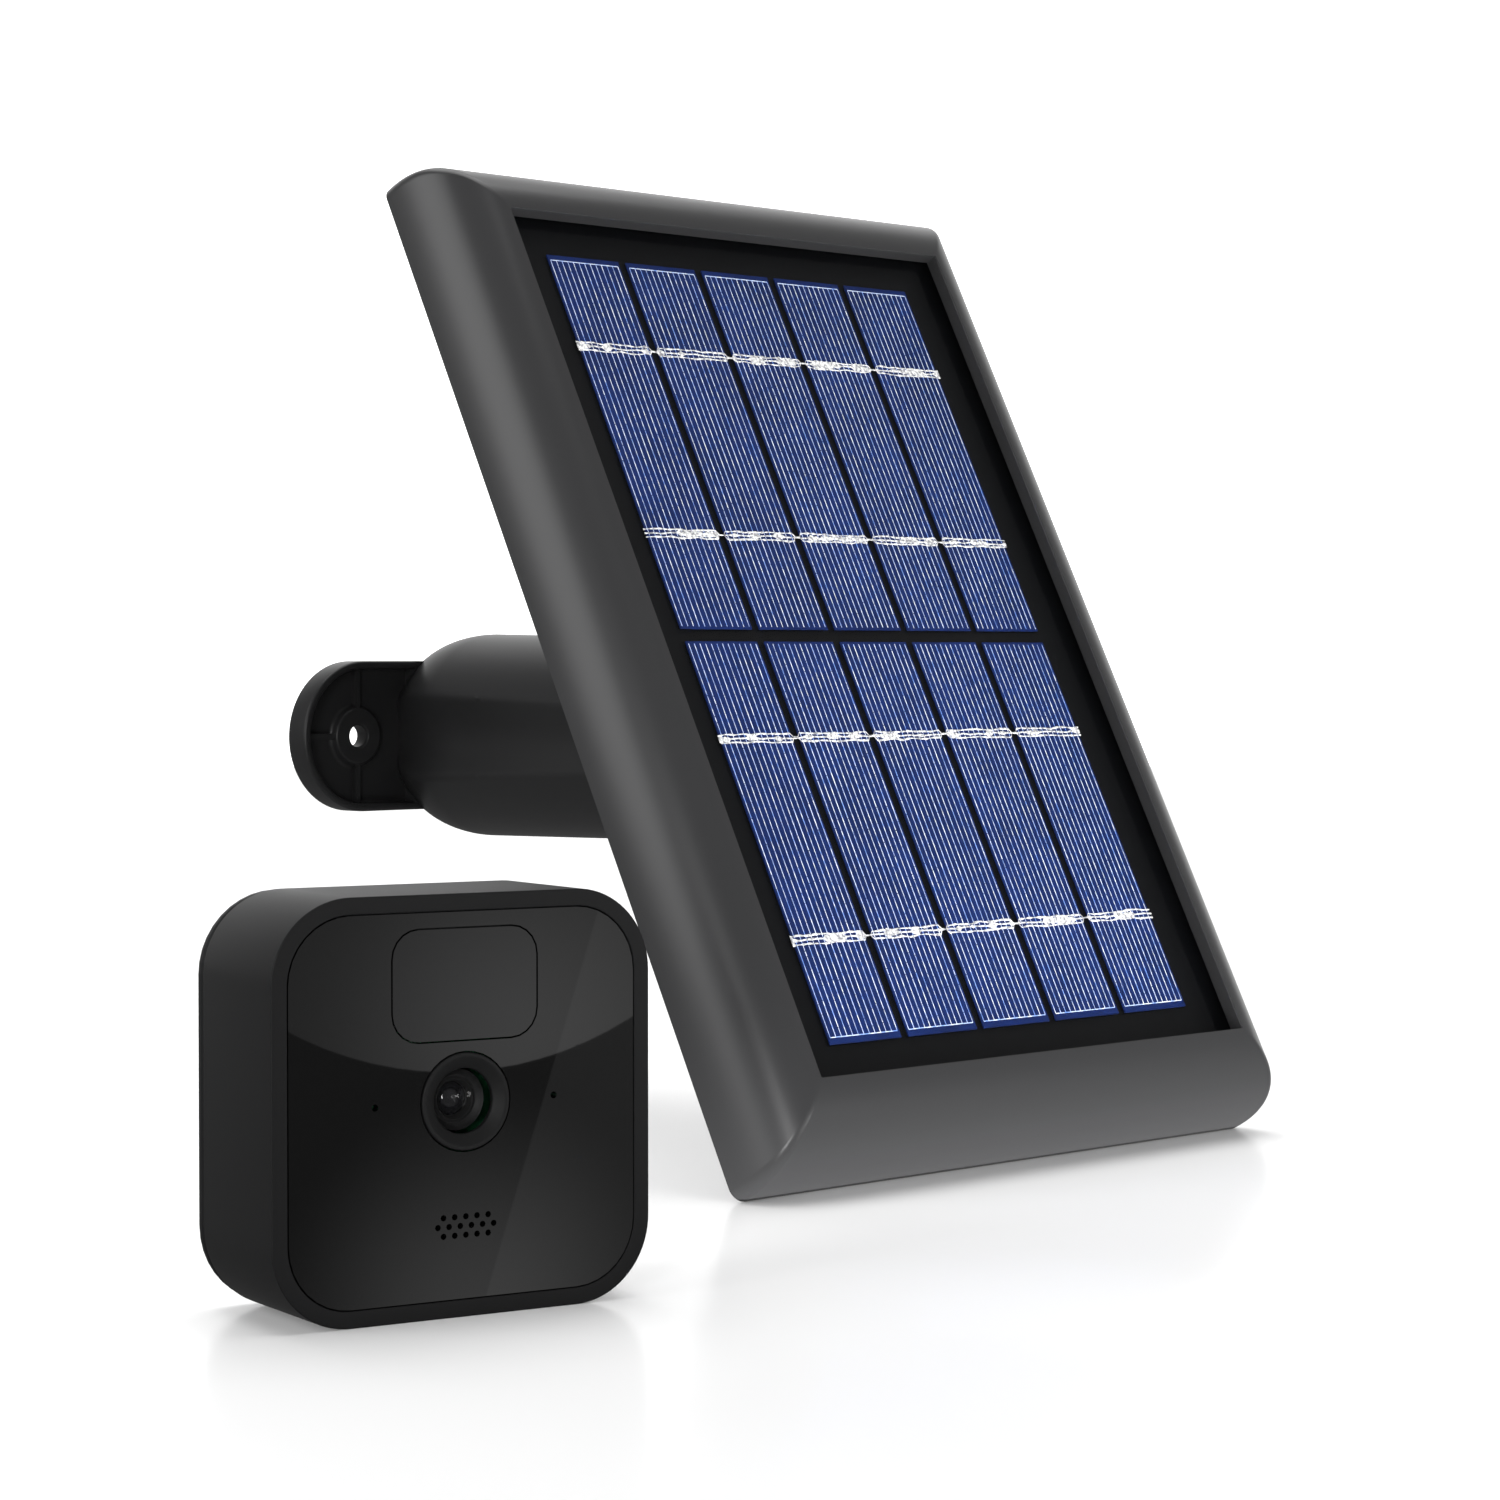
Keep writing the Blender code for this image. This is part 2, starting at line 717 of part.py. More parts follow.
def make_front(face):
    plate_front = PLATE_FLOOR + GAP + PLATE_THICKNESS
    middle = PLATE_FLOOR + GAP + PLATE_THICKNESS / 2
    plate = block(
        "front_plate",
        face,
        (PLATE_SIDE, PLATE_SIDE, PLATE_THICKNESS),
        (0, 0, middle),
        GLOSS,
        PLATE_CORNER,
        8,
    )
    opening = block(
        "pir_opening",
        face,
        (PIR_SIZE[0] + 2 * GAP, PIR_SIZE[1] + 2 * GAP, 0.006),
        (0, PIR_Y, middle),
        corner=PIR_CORNER + GAP,
        segments=5,
    )
    lens_opening = rod(
        "lens_opening", face, LENS_RING_RADIUS + GAP, -0.005, 0.003, (0, LENS_Y), segments=32
    )
    cut(plate, opening, lens_opening, grille_tool(face))
    for label, x in (("mic", -PINHOLE_X), ("led", PINHOLE_X)):
        cut(
            plate,
            rod(f"pinhole_{label}", face, PINHOLE_RADIUS, -0.005, 0.003, (x, LENS_Y), segments=10),
        )
    block(
        "pir_window",
        face,
        (*PIR_SIZE, PLATE_THICKNESS),
        (0, PIR_Y, middle),
        PIR_BLACK,
        PIR_CORNER,
        5,
    )
    ring = [
        (LENS_RING_RADIUS - 0.0008, plate_front + 0.0003),
        (LENS_RING_RADIUS - 0.0003, plate_front + 0.0003),
        (LENS_RING_RADIUS, plate_front),
        (LENS_RING_RADIUS, PLATE_FLOOR + GAP),
        (LENS_WELL_RADIUS, PLATE_FLOOR + GAP),
        (LENS_WELL_RADIUS, plate_front - 0.0006),
    ]
    turned("lens_ring", face, ring, (0, LENS_Y, 0), LENS_BLACK, 32)


def make_optics(face):
    barrel = [
        (0.0034, -0.0040),
        (0.0052, -0.0034),
        (0.0052, -0.0060),
        (0.0060, -0.0062),
        (0.0060, -0.0085),
        (0.0034, -0.0085),
    ]
    turned("lens_barrel", face, barrel, (0, LENS_Y, 0), LENS_BLACK, 28)
    glass = [
        (0.0, -0.0008),
        (0.0018, -0.0009),
        (0.0034, -0.0013),
        (0.0046, -0.0018),
        (0.0052, -0.0023),
        (0.0052, -0.0030),
        (0.0, -0.0030),
    ]
    turned("lens_front", face, glass, (0, LENS_Y, 0), LENS_GLASS, 24)
    block("image_sensor", face, (0.0100, 0.0100, 0.0009), (0, LENS_Y, -0.00925), BACKING)
    block("microphone", face, (0.0038, 0.0030, 0.0011), (-PINHOLE_X, LENS_Y, -0.0092), STEEL)
    status = [(0.0, -0.0062), (0.0008, -0.0066), (0.0011, -0.0074), (0.0011, -0.0097), (0.0, -0.0097)]
    turned("status_led", face, status, (PINHOLE_X, LENS_Y, 0), NYLON, 12)
    infra = [(0.0, -0.0052), (0.0010, -0.0055), (0.0015, -0.0064), (0.0015, -0.0097), (0.0, -0.0097)]
    turned("infrared_led", face, infra, (0.0110, -0.0085, 0), LENS_GLASS, 12)
    pir = [(0.0, -0.0060), (0.0038, -0.0060), (0.0041, -0.0063), (0.0041, -0.0097), (0.0, -0.0097)]
    turned("pir_sensor", face, pir, (0, PIR_Y, 0), STEEL, 20)
    speaker = [(0.0, -0.0052), (0.0070, -0.0048), (0.0075, -0.0052), (0.0075, -0.0097), (0.0, -0.0097)]
    turned("speaker", face, speaker, (0, SPEAKER_Y, 0), LENS_BLACK, 24)


def make_electronics(face, shell):
    block(
        "main_board",
        face,
        (0.0620, 0.0620, 0.0016),
        (0, 0, MAIN_BOARD_BACK + 0.0008),
        BOARD,
        0.0100,
        3,
    )
    back = MAIN_BOARD_BACK - GAP
    switch_low = back - 0.0024
    switch = block(
        "sync_switch", face, (0.0046, 0.0046, 0.0024), (*SYNC_AT, back - 0.0012), LENS_BLACK
    )
    cut(
        switch,
        rod("sync_bore", face, 0.0016, switch_low - 0.001, switch_low + 0.0016, SYNC_AT, segments=12),
    )
    inside = switch_low + 0.0008
    pressed_end = switch_low - 0.0022
    stem = [(0.0, inside), (0.0013, inside), (0.0013, pressed_end), (0.0, pressed_end)]
    turned("sync_button", face, stem, (*SYNC_AT, 0), NYLON, 12)
    usb_z = -0.0225
    usb = block("usb_socket", face, (0.0076, 0.0028, 0.0060), (*USB_AT, usb_z), STEEL)
    cut(usb, block("usb_mouth", face, (0.0068, 0.0020, 0.0050), (*USB_AT, usb_z - 0.0013)))
    shelf = block(
        "usb_shelf", face, (0.0100, 0.0066, 0.0080), (USB_AT[0], USB_AT[1] - 0.0050, usb_z + 0.0005)
    )
    join(shell, shelf)


def make_batteries(face):
    bay = block(
        "battery_bay",
        face,
        (0.0570, 0.0360, 0.0118),
        (0, 0, BATTERY_Z + 0.0018),
        LENS_BLACK,
        0.0015,
        2,
    )
    radius, length = CELL_AA
    for number, side in ((1, 1), (2, -1)):
        axis = empty(
            f"battery_axis_{number}",
            face,
            (0, side * BATTERY_Y, BATTERY_Z),
            (0, math.radians(90 * side), 0),
        )
        trough = rod(f"trough_{number}", axis, radius + GAP, -0.0266, 0.0266, (0, 0), segments=24)
        cut(bay, trough)
        half = length / 2
        profile = [
            (0.0, half),
            (0.0027, half),
            (0.0027, half - 0.0012),
            (radius - 0.0005, half - 0.0012),
            (radius, half - 0.0018),
            (radius, -half + 0.0005),
            (radius - 0.0005, -half),
            (0.0, -half),
        ]
        turned(f"battery_{number}", axis, profile, (0, 0, 0), WRAP, 24)
    mouth = block("bay_mouth", face, (0.0532, 0.0330, 0.0120), (0, 0, BATTERY_Z - 0.0060))
    screw_way = rod("screw_way", face, 0.0020, -0.030, -0.0125, (0, 0), segments=12)
    cut(bay, mouth, screw_way)
    for label, side in (("left", -1), ("right", 1)):
        at = (side * 0.02590, 0, BATTERY_Z + 0.0005)
        size = (0.0006, 0.0300, 0.0090)
        block(f"battery_contact_{label}", face, size, at, STEEL)
        cut(bay, block(f"contact_slot_{label}", face, [side + 2 * GAP for side in size], at))


def make_back_cover(face):
    """The back cover, its seal, its captive screw and the rubber plug over the charging port."""
    half = CAMERA_SIDE / 2 - 0.0003
    depth = CAMERA_DEPTH - SHELL_DEPTH - GAP
    cover = block(
        "back_cover",
        face,
        (2 * half, 2 * half, depth),
        (0, 0, COVER_FRONT - depth / 2),
        SHELL,
        CAMERA_CORNER - 0.0003,
        10,
    )
    slope = cover.modifiers.new("soft_back_edge", "BEVEL")
    slope.width = 0.0014
    slope.segments = 2
    slope.limit_method = "ANGLE"
    slope.angle_limit = math.radians(60)
    rear = -CAMERA_DEPTH
    seal_groove = block(
        "seal_room",
        face,
        (0.0664, 0.0664, 0.0012),
        (0, 0, COVER_FRONT - 0.0002),
        corner=0.0120,
        segments=8,
    )
    cut(cover, seal_groove)
    socket = rod(
        "mount_recess", face, 0.0062, rear - 0.001, rear + 0.0016, (0, 0.0215), segments=24
    )
    screw_recess = rod(
        "screw_recess", face, 0.0043, rear - 0.001, rear + 0.0018, (0, 0), segments=24
    )
    screw_hole = rod(
        "screw_hole", face, 0.0019, rear - 0.001, COVER_FRONT + 0.002, (0, 0), segments=16
    )
    width, height = USB_OPENING
    plug_room = block(
        "plug_room", face, (width, height, 0.0034), (USB_AT[0], USB_AT[1] - 0.0008, rear + 0.0002)
    )
    port = block("port_hole", face, (0.0088, 0.0036, 0.0100), (*USB_AT, rear + 0.002))
    cut(cover, socket, screw_recess, screw_hole, plug_room, port)
    seal_at = (0, 0, COVER_FRONT - 0.00025)
    seal = block("seal_gasket", face, (SEAL_SIDE, SEAL_SIDE, 0.0009), seal_at, RUBBER, 0.0117, 8)
    cut(
        seal,
        block("seal_inner", face, (0.0600, 0.0600, 0.006), (0, 0, COVER_FRONT), corner=0.0090, segments=6),
    )
    screw = [
        (0.0, -0.0160),
        (0.0015, -0.0166),
        (0.0015, rear + 0.0015),
        (0.0040, rear + 0.0015),
        (0.0040, rear + 0.0003),
        (0.0, rear + 0.0003),
    ]
    captive = turned("cover_screw", face, screw, (0, 0, 0), STEEL, 20)
    cut(captive, block("screw_slot", face, (0.0064, 0.0010, 0.0016), (0, 0, rear)))
    hinge_line = empty("plug_hinge", face, (USB_AT[0], USB_AT[1] - 0.0026, rear + 0.0006))
    plug = block(
        "usb_plug",
        hinge_line,
        (width - 0.0008, 0.0044, 0.0009),
        (0, 0.0022, -0.00005),
        RUBBER,
        0.0004,
        2,
    )
    nose = block("plug_nose", hinge_line, (0.0064, 0.0016, 0.0030), (0, 0.0026, 0.0015))
    join(plug, nose)


# ---------------------------------------------------------------- assembly
def main():
    arm = empty("arm_axis", None, (0, 0, 0), (math.radians(90), 0, 0))
    make_bracket(arm)
    make_ball_head(arm)
    upright = (math.radians(90) - PANEL_LEAN, 0, 0)
    ball_centre = Vector((0, -BALL_AT, 0))
    tilt_axis = empty("tilt_axis", None, ball_centre, upright)
    make_stud(tilt_axis)
    panel = empty("panel_place", tilt_axis, (0, 0, BALL_TO_CELLS))
    make_panel(panel)
    face = empty("camera_face", None, CAMERA_AT, (math.radians(90), 0, CAMERA_TURN))
    shell = make_shell(face)
    make_front(face)
    make_optics(face)
    make_electronics(face, shell)
    make_batteries(face)
    make_back_cover(face)


main()
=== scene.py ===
"""Looks of the solar-powered security camera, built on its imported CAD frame.

Metres, +Z up, in the frame's own axes. The new surfaces are grids of points, and boxes, worked
out from formulas. The frame's own nodes are only given materials.
"""

import json
import math

import bmesh
import bpy
import numpy as np
from bpy.props import FloatProperty, FloatVectorProperty, IntProperty, PointerProperty
from mathutils import Matrix, Vector


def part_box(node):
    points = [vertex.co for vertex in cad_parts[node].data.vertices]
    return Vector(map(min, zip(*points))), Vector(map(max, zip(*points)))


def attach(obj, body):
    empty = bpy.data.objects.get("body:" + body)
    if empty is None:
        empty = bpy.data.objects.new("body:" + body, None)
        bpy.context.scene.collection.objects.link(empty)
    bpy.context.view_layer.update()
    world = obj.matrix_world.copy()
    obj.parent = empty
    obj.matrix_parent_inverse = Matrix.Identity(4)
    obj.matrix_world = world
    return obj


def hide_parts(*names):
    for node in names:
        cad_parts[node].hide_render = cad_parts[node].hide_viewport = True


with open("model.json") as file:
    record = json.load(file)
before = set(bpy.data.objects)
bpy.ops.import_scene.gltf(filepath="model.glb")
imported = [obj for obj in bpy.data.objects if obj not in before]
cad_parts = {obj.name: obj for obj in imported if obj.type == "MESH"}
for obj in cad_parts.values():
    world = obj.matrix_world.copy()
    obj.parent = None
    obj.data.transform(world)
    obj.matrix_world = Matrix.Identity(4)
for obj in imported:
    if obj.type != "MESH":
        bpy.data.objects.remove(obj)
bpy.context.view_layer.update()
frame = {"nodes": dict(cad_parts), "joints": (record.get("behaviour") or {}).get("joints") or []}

bl_info = {
    "name": "Solar Security Camera Looks",
    "version": (1, 0, 0),
    "blender": (4, 5, 0),
    "location": "View3D > Sidebar > Solar Camera",
    "description": "Adds finished surfaces and materials to the solar security camera's frame",
    "category": "Object",
}

MM = 0.001
JOINTS = {joint["name"]: joint for joint in frame["joints"]}


# ---------------------------------------------------------------- places
class Place:
    """An origin and three axes, to turn local points into the row's frame."""

    def __init__(self, origin, x, y, z):
        self.origin = np.array(origin, float)
        self.axes = np.array([x, y, z], float)

    def row(self, points):
        return self.origin + np.asarray(points, float) @ self.axes


def unit(vector):
    vector = np.array(vector, float)
    return vector / np.linalg.norm(vector)


def arm_place():
    """z runs along the arm from the wall, y is up."""
    return Place((0, 0, 0), (1, 0, 0), (0, 0, 1), (0, -1, 0))


def panel_place():
    """z points out of the panel's face and y runs up it; the origin is the cells' centre."""
    out = unit(JOINTS["panel_spin"]["axis"])
    side = np.array((1.0, 0.0, 0.0))
    return Place(JOINTS["panel_spin"]["pos_m"], side, np.cross(out, side), out)


def ball_place():
    place = panel_place()
    place.origin = np.array(JOINTS["ball_tilt"]["pos_m"], float)
    return place


PLATE_MIDDLE = -1.0 * MM  # the front plate's middle, behind the shell's front edge


def camera_place():
    """z points out of the camera's face; the origin is the centre of its shell's front edge."""
    out = -unit(JOINTS["back_cover_pull"]["axis"])
    side = -unit(JOINTS["usb_plug_swing"]["axis"])
    low, high = (np.array(corner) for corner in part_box("front_plate"))
    return Place((low + high) / 2 - PLATE_MIDDLE * out, side, (0, 0, 1), out)


# ---------------------------------------------------------------- shapes
def quads(rows, columns, close_rows, close_columns):
    """Corner numbers of the faces between the points of a grid."""
    i = np.arange(rows if close_rows else rows - 1)
    j = np.arange(columns if close_columns else columns - 1)
    i, j = np.meshgrid(i, j, indexing="ij")
    below = (i + 1) % rows
    across = (j + 1) % columns
    this_row, next_row = i * columns, below * columns
    corners = [this_row + j, this_row + across, next_row + across, next_row + j]
    return np.stack(corners, axis=-1).reshape(-1, 4)


def linked(name, data):
    """A new object in the scene's own collection."""
    obj = bpy.data.objects.new(name, data)
    bpy.context.scene.collection.objects.link(obj)
    return obj


def mesh_object(name, points, faces, sharp=35.0):
    """An object from points and faces, with outward normals and edges sharp above an angle."""
    mesh = bpy.data.meshes.new(name)
    mesh.from_pydata(np.asarray(points).reshape(-1, 3).tolist(), [], np.asarray(faces).tolist())
    work = bmesh.new()
    work.from_mesh(mesh)
    bmesh.ops.remove_doubles(work, verts=work.verts, dist=1e-8)
    bmesh.ops.dissolve_degenerate(work, edges=work.edges, dist=1e-8)
    bmesh.ops.recalc_face_normals(work, faces=work.faces)
    work.to_mesh(mesh)
    work.free()
    mesh.polygons.foreach_set("use_smooth", np.ones(len(mesh.polygons), bool))
    mesh.set_sharp_from_angle(angle=math.radians(sharp))
    return linked(name, mesh)


def dress(obj, body, look, *replaced):
    """Rides obj on a body with a material, in place of the named nodes."""
    obj.data.materials.append(look)
    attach(obj, body)
    if replaced:
        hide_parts(*replaced)
    return obj


def filleted(profile, radius, closed=False, steps=5):
    """A polyline whose corners are replaced by quadratic curves, each reaching at most radius
    or 45 percent of the shorter neighbouring side back from its corner."""
    profile = np.array(profile, float)
    before = np.roll(profile, 1, axis=0)
    after = np.roll(profile, -1, axis=0)
    to_before = before - profile
    to_after = after - profile
    length_before = np.maximum(np.linalg.norm(to_before, axis=1), 1e-12)
    length_after = np.maximum(np.linalg.norm(to_after, axis=1), 1e-12)
    limit = 0.45 * np.minimum(length_before, length_after)
    reach = np.minimum(np.broadcast_to(radius, len(profile)), limit)
    start = profile + to_before * (reach / length_before)[:, None]
    end = profile + to_after * (reach / length_after)[:, None]
    start, middle, end = start[:, None], profile[:, None], end[:, None]
    t = np.linspace(0, 1, steps)[None, :, None]
    curve = (1 - t) ** 2 * start + 2 * t * (1 - t) * middle + t**2 * end
    if closed:
        return curve.reshape(-1, profile.shape[1])
    inner = curve[1:-1].reshape(-1, profile.shape[1])
    return np.concatenate([profile[:1], inner, profile[-1:]])


def lathe(name, profile, place, at=(0.0, 0.0), steps=72, closed=True, sharp=35.0):
    """Turns (radius, z) points about local z through at."""
    profile = np.array(profile, float)
    turn = np.linspace(0, 2 * np.pi, steps, endpoint=False)
    x = at[0] + profile[:, :1] * np.cos(turn)
    y = at[1] + profile[:, :1] * np.sin(turn)
    z = np.broadcast_to(profile[:, 1:], x.shape)
    points = place.row(np.stack([x, y, z], axis=-1))
    return mesh_object(name, points, quads(len(profile), steps, closed, True), sharp)


def rounded_rings(half_x, half_y, corner, z, per_corner=12):
    """One rounded rectangle per entry of the arrays, as a (rings, points, 3) grid."""
    half_x, half_y, corner, z = np.broadcast_arrays(*np.atleast_1d(half_x, half_y, corner, z))
    quarter = np.linspace(0, np.pi / 2, per_corner)
    turn = (quarter[None, :] + np.arange(4)[:, None] * np.pi / 2).ravel()
    sign_x = np.repeat([1, -1, -1, 1], per_corner)
    sign_y = np.repeat([1, 1, -1, -1], per_corner)
    x = sign_x * (half_x - corner)[:, None] + corner[:, None] * np.cos(turn)
    y = sign_y * (half_y - corner)[:, None] + corner[:, None] * np.sin(turn)
    return np.stack([x, y, np.broadcast_to(z[:, None], x.shape)], axis=-1)


def boxes(low, high):
    """Points and faces of many closed boxes, from (n, 3) arrays of lowest and highest corners."""
    floor = [(0, 0), (1, 0), (1, 1), (0, 1)]
    pick = np.array([(x, y, z) for z in (0, 1) for x, y in floor])
    points = np.where(pick[None], high[:, None], low[:, None])
    walls = [(k, (k + 1) % 4, (k + 1) % 4 + 4, k + 4) for k in range(4)]
    sides = np.array([(0, 3, 2, 1), (4, 5, 6, 7), *walls])
    faces = sides[None] + 8 * np.arange(len(low))[:, None, None]
    return points, faces.reshape(-1, 4)


# ---------------------------------------------------------------- materials
def new_material(name):
    """An empty material and its node tree."""
    made = bpy.data.materials.new(name)
    made.use_nodes = True
    return made, made.node_tree


def feed(tree, socket, value):
    """Gives a socket a number, or joins it to another node's output."""
    if isinstance(value, float):
        socket.default_value = value
    else:
        tree.links.new(value, socket)


def noise_output(tree, scale, detail):
    """The value of a noise in the object's own metres."""
    where = tree.nodes.new("ShaderNodeTexCoord")
    noise = tree.nodes.new("ShaderNodeTexNoise")
    noise.inputs["Scale"].default_value = scale
    noise.inputs["Detail"].default_value = detail
    tree.links.new(where.outputs["Object"], noise.inputs["Vector"])
    return noise.outputs["Fac"]


def math_output(tree, operation, first, second):
    """The result of a maths node on two numbers or outputs."""
    node = tree.nodes.new("ShaderNodeMath")
    node.operation = operation
    feed(tree, node.inputs[0], first)
    feed(tree, node.inputs[1], second)
    return node.outputs["Value"]


def gloss_node(tree, roughness):
    gloss = tree.nodes.new("ShaderNodeBsdfGlossy")
    gloss.inputs["Roughness"].default_value = roughness
    return gloss


def mix_to_surface(tree, share, first, second):
    """Makes the surface a mix of two shader nodes; share is how much of the second."""
    mix = tree.nodes.new("ShaderNodeMixShader")
    feed(tree, mix.inputs["Fac"], share)
    tree.links.new(first.outputs["BSDF"], mix.inputs[1])
    tree.links.new(second.outputs["BSDF"], mix.inputs[2])
    tree.links.new(mix.outputs["Shader"], tree.nodes["Material Output"].inputs["Surface"])


def material(name, colour, roughness, metallic=0.0, specular=0.5, grain=0.0, grain_scale=3500.0):
    """A Principled material, with a fine noise bump if grain is set."""
    made, tree = new_material(name)
    shader = tree.nodes["Principled BSDF"]
    shader.inputs["Base Color"].default_value = (*colour, 1.0)
    shader.inputs["Roughness"].default_value = roughness
    shader.inputs["Metallic"].default_value = metallic
    shader.inputs["Specular IOR Level"].default_value = specular
    if grain:
        bump = tree.nodes.new("ShaderNodeBump")
        bump.inputs["Strength"].default_value = grain
        bump.inputs["Distance"].default_value = 0.1 * MM
        tree.links.new(noise_output(tree, grain_scale, 2.0), bump.inputs["Height"])
        tree.links.new(bump.outputs["Normal"], shader.inputs["Normal"])
    return made


def mottled(made, first, second, scale):
    """Mixes two base colours by a noise."""
    tree = made.node_tree
    ramp = tree.nodes.new("ShaderNodeValToRGB")
    for stop, position, colour in zip(ramp.color_ramp.elements, (0.35, 0.65), (first, second)):
        stop.position = position
        stop.color = (*colour, 1.0)
    tree.links.new(noise_output(tree, scale, 3.0), ramp.inputs["Fac"])
    tree.links.new(ramp.outputs["Color"], tree.nodes["Principled BSDF"].inputs["Base Color"])
    return made


def clear_film(name, roughness, share_scale):
    """A clear sheet: light passes straight through, less the share that its outside reflects."""
    made, tree = new_material(name)
    tree.nodes.remove(tree.nodes["Principled BSDF"])
    fresnel = tree.nodes.new("ShaderNodeFresnel")
    fresnel.inputs["IOR"].default_value = 1.45
    side = tree.nodes.new("ShaderNodeNewGeometry")
    outside = math_output(tree, "SUBTRACT", 1.0, side.outputs["Backfacing"])
    reflected = math_output(tree, "MULTIPLY", fresnel.outputs["Fac"], share_scale)
    share = math_output(tree, "MULTIPLY", reflected, outside)
    through = tree.nodes.new("ShaderNodeBsdfTransparent")
    mix_to_surface(tree, share, through, gloss_node(tree, roughness))
    return made


# Colour, roughness and metallic of the finishes that only have a faint grain besides.
PLAIN_FINISHES = {
    "lens_black": ((0.010, 0.010, 0.011), 0.28, 0.0),
    "steel": ((0.62, 0.62, 0.64), 0.30, 1.0),
    "brass": ((0.78, 0.57, 0.24), 0.30, 1.0),
    "nylon": ((0.75, 0.74, 0.70), 0.50, 0.0),
    "foam": ((0.030, 0.030, 0.030), 0.90, 0.0),
    "rubber": ((0.025, 0.025, 0.025), 0.70, 0.0),
    "board": ((0.020, 0.180, 0.070), 0.40, 0.0),
    "wrap": ((0.180, 0.180, 0.190), 0.35, 0.5),
    "lens_glass": ((0.004, 0.004, 0.005), 0.03, 0.0),
}
LOOKS = {}


def look(name):
    if name not in LOOKS:
        LOOKS[name] = make_look(name)
    return LOOKS[name]


def make_look(name):
    settings = bpy.context.scene.solar_finishes
    if name == "charcoal":
        return material("charcoal", settings.charcoal, 0.34, grain=0.06)
    if name == "bracket":
        return material("bracket", settings.bracket, 0.40, specular=0.25, grain=0.05)
    if name == "shell":
        return material("shell", settings.shell, 0.50, specular=0.15, grain=0.05)
    if name == "gloss":
        return material("gloss", settings.gloss, 0.012, specular=0.3)
    if name == "clear":
        return clear_film("clear", 0.03, 0.32)
    if name == "lens_cover":
        return clear_film("lens_cover", 0.01, 0.5)
    if name == "lens_ring":
        return material("lens_ring", (0.0060, 0.0060, 0.0062), 0.55, specular=0.18)
    if name == "sheet":
        return material("sheet", (0.0022, 0.0024, 0.0030), 0.35, specular=0.15)
    if name == "window":
        return material("window", (0.0028, 0.0028, 0.0029), 0.03, specular=0.3)
    if name == "cells":
        made = material("cells", settings.cells, 0.45, specular=0.12)
        lighter = [1.35 * channel for channel in settings.cells]
        return mottled(made, settings.cells, lighter, 90.0)
    if name == "silver":
        made = material("silver", (0.75, 0.75, 0.74), 0.45, grain=0.3, grain_scale=2500.0)
        return mottled(made, (0.22, 0.22, 0.24), (1.0, 1.0, 0.98), 1500.0)
    if name == "finger":
        made = material("finger", (0.62, 0.66, 0.78), 0.5)
        return mottled(made, (0.16, 0.32, 0.80), (0.90, 0.96, 1.00), 650.0)
    colour, roughness, metallic = PLAIN_FINISHES[name]
    return material(name, colour, roughness, metallic, grain=0.05)


NODE_LOOKS = {
    "rear_cover": "charcoal",
    "backing_board": "sheet",
    "panel_gasket": "foam",
    "charge_board": "board",
    "threaded_insert": "brass",
    "cable_gland": "rubber",
    "front_plate": "gloss",
    "pir_window": "window",
    "image_sensor": "sheet",
    "microphone": "steel",
    "status_led": "nylon",
    "infrared_led": "lens_glass",
    "pir_sensor": "steel",
    "speaker": "lens_black",
    "main_board": "board",
    "sync_switch": "lens_black",
    "sync_button": "nylon",
    "usb_socket": "steel",
    "battery_bay": "lens_black",
    "battery_contact_left": "steel",
    "battery_contact_right": "steel",
    "battery_1": "wrap",
    "battery_2": "wrap",
    "back_cover": "shell",
    "seal_gasket": "rubber",
    "cover_screw": "steel",
    "usb_plug": "rubber",
}


def paint(node, made):
    mesh = frame["nodes"][node].data
    mesh.materials.clear()
    mesh.materials.append(made)


# ---------------------------------------------------------------- settings
def colour_setting(name, description, default):
    return FloatVectorProperty(name=name, description=description, subtype="COLOR", default=default)


def length_setting(name, description, default):
    return FloatProperty(
        name=name, description=description, default=default, subtype="DISTANCE", unit="LENGTH"
    )


class FinishSettings(bpy.types.PropertyGroup):
    charcoal: colour_setting("Frame", "Colour of the panel's frame", (0.0225, 0.0225, 0.0234))
    bracket: colour_setting("Bracket", "Colour of the wall bracket", (0.0104, 0.0104, 0.0108))
    shell: colour_setting("Shell", "Colour of the camera's shell", (0.0055, 0.0055, 0.0058))
    gloss: colour_setting("Front", "Colour of the glossy front plate", (0.0018, 0.0018, 0.0018))
    cells: colour_setting("Cells", "Colour of the solar cells", (0.0042, 0.0132, 0.0740))


class PanelSettings(bpy.types.PropertyGroup):
    rail_steps: IntProperty(
        name="Rail steps", description="Rings across the rounded rail", default=48, min=12, max=120
    )
    fingers: IntProperty(
        name="Fingers", description="Conductor lines on each cell", default=13, min=3, max=40
    )
    finger_width: length_setting("Finger width", "Width of a line", 0.00017)
    busbar_width: length_setting("Busbar width", "Width of a soldered strip", 0.0028)


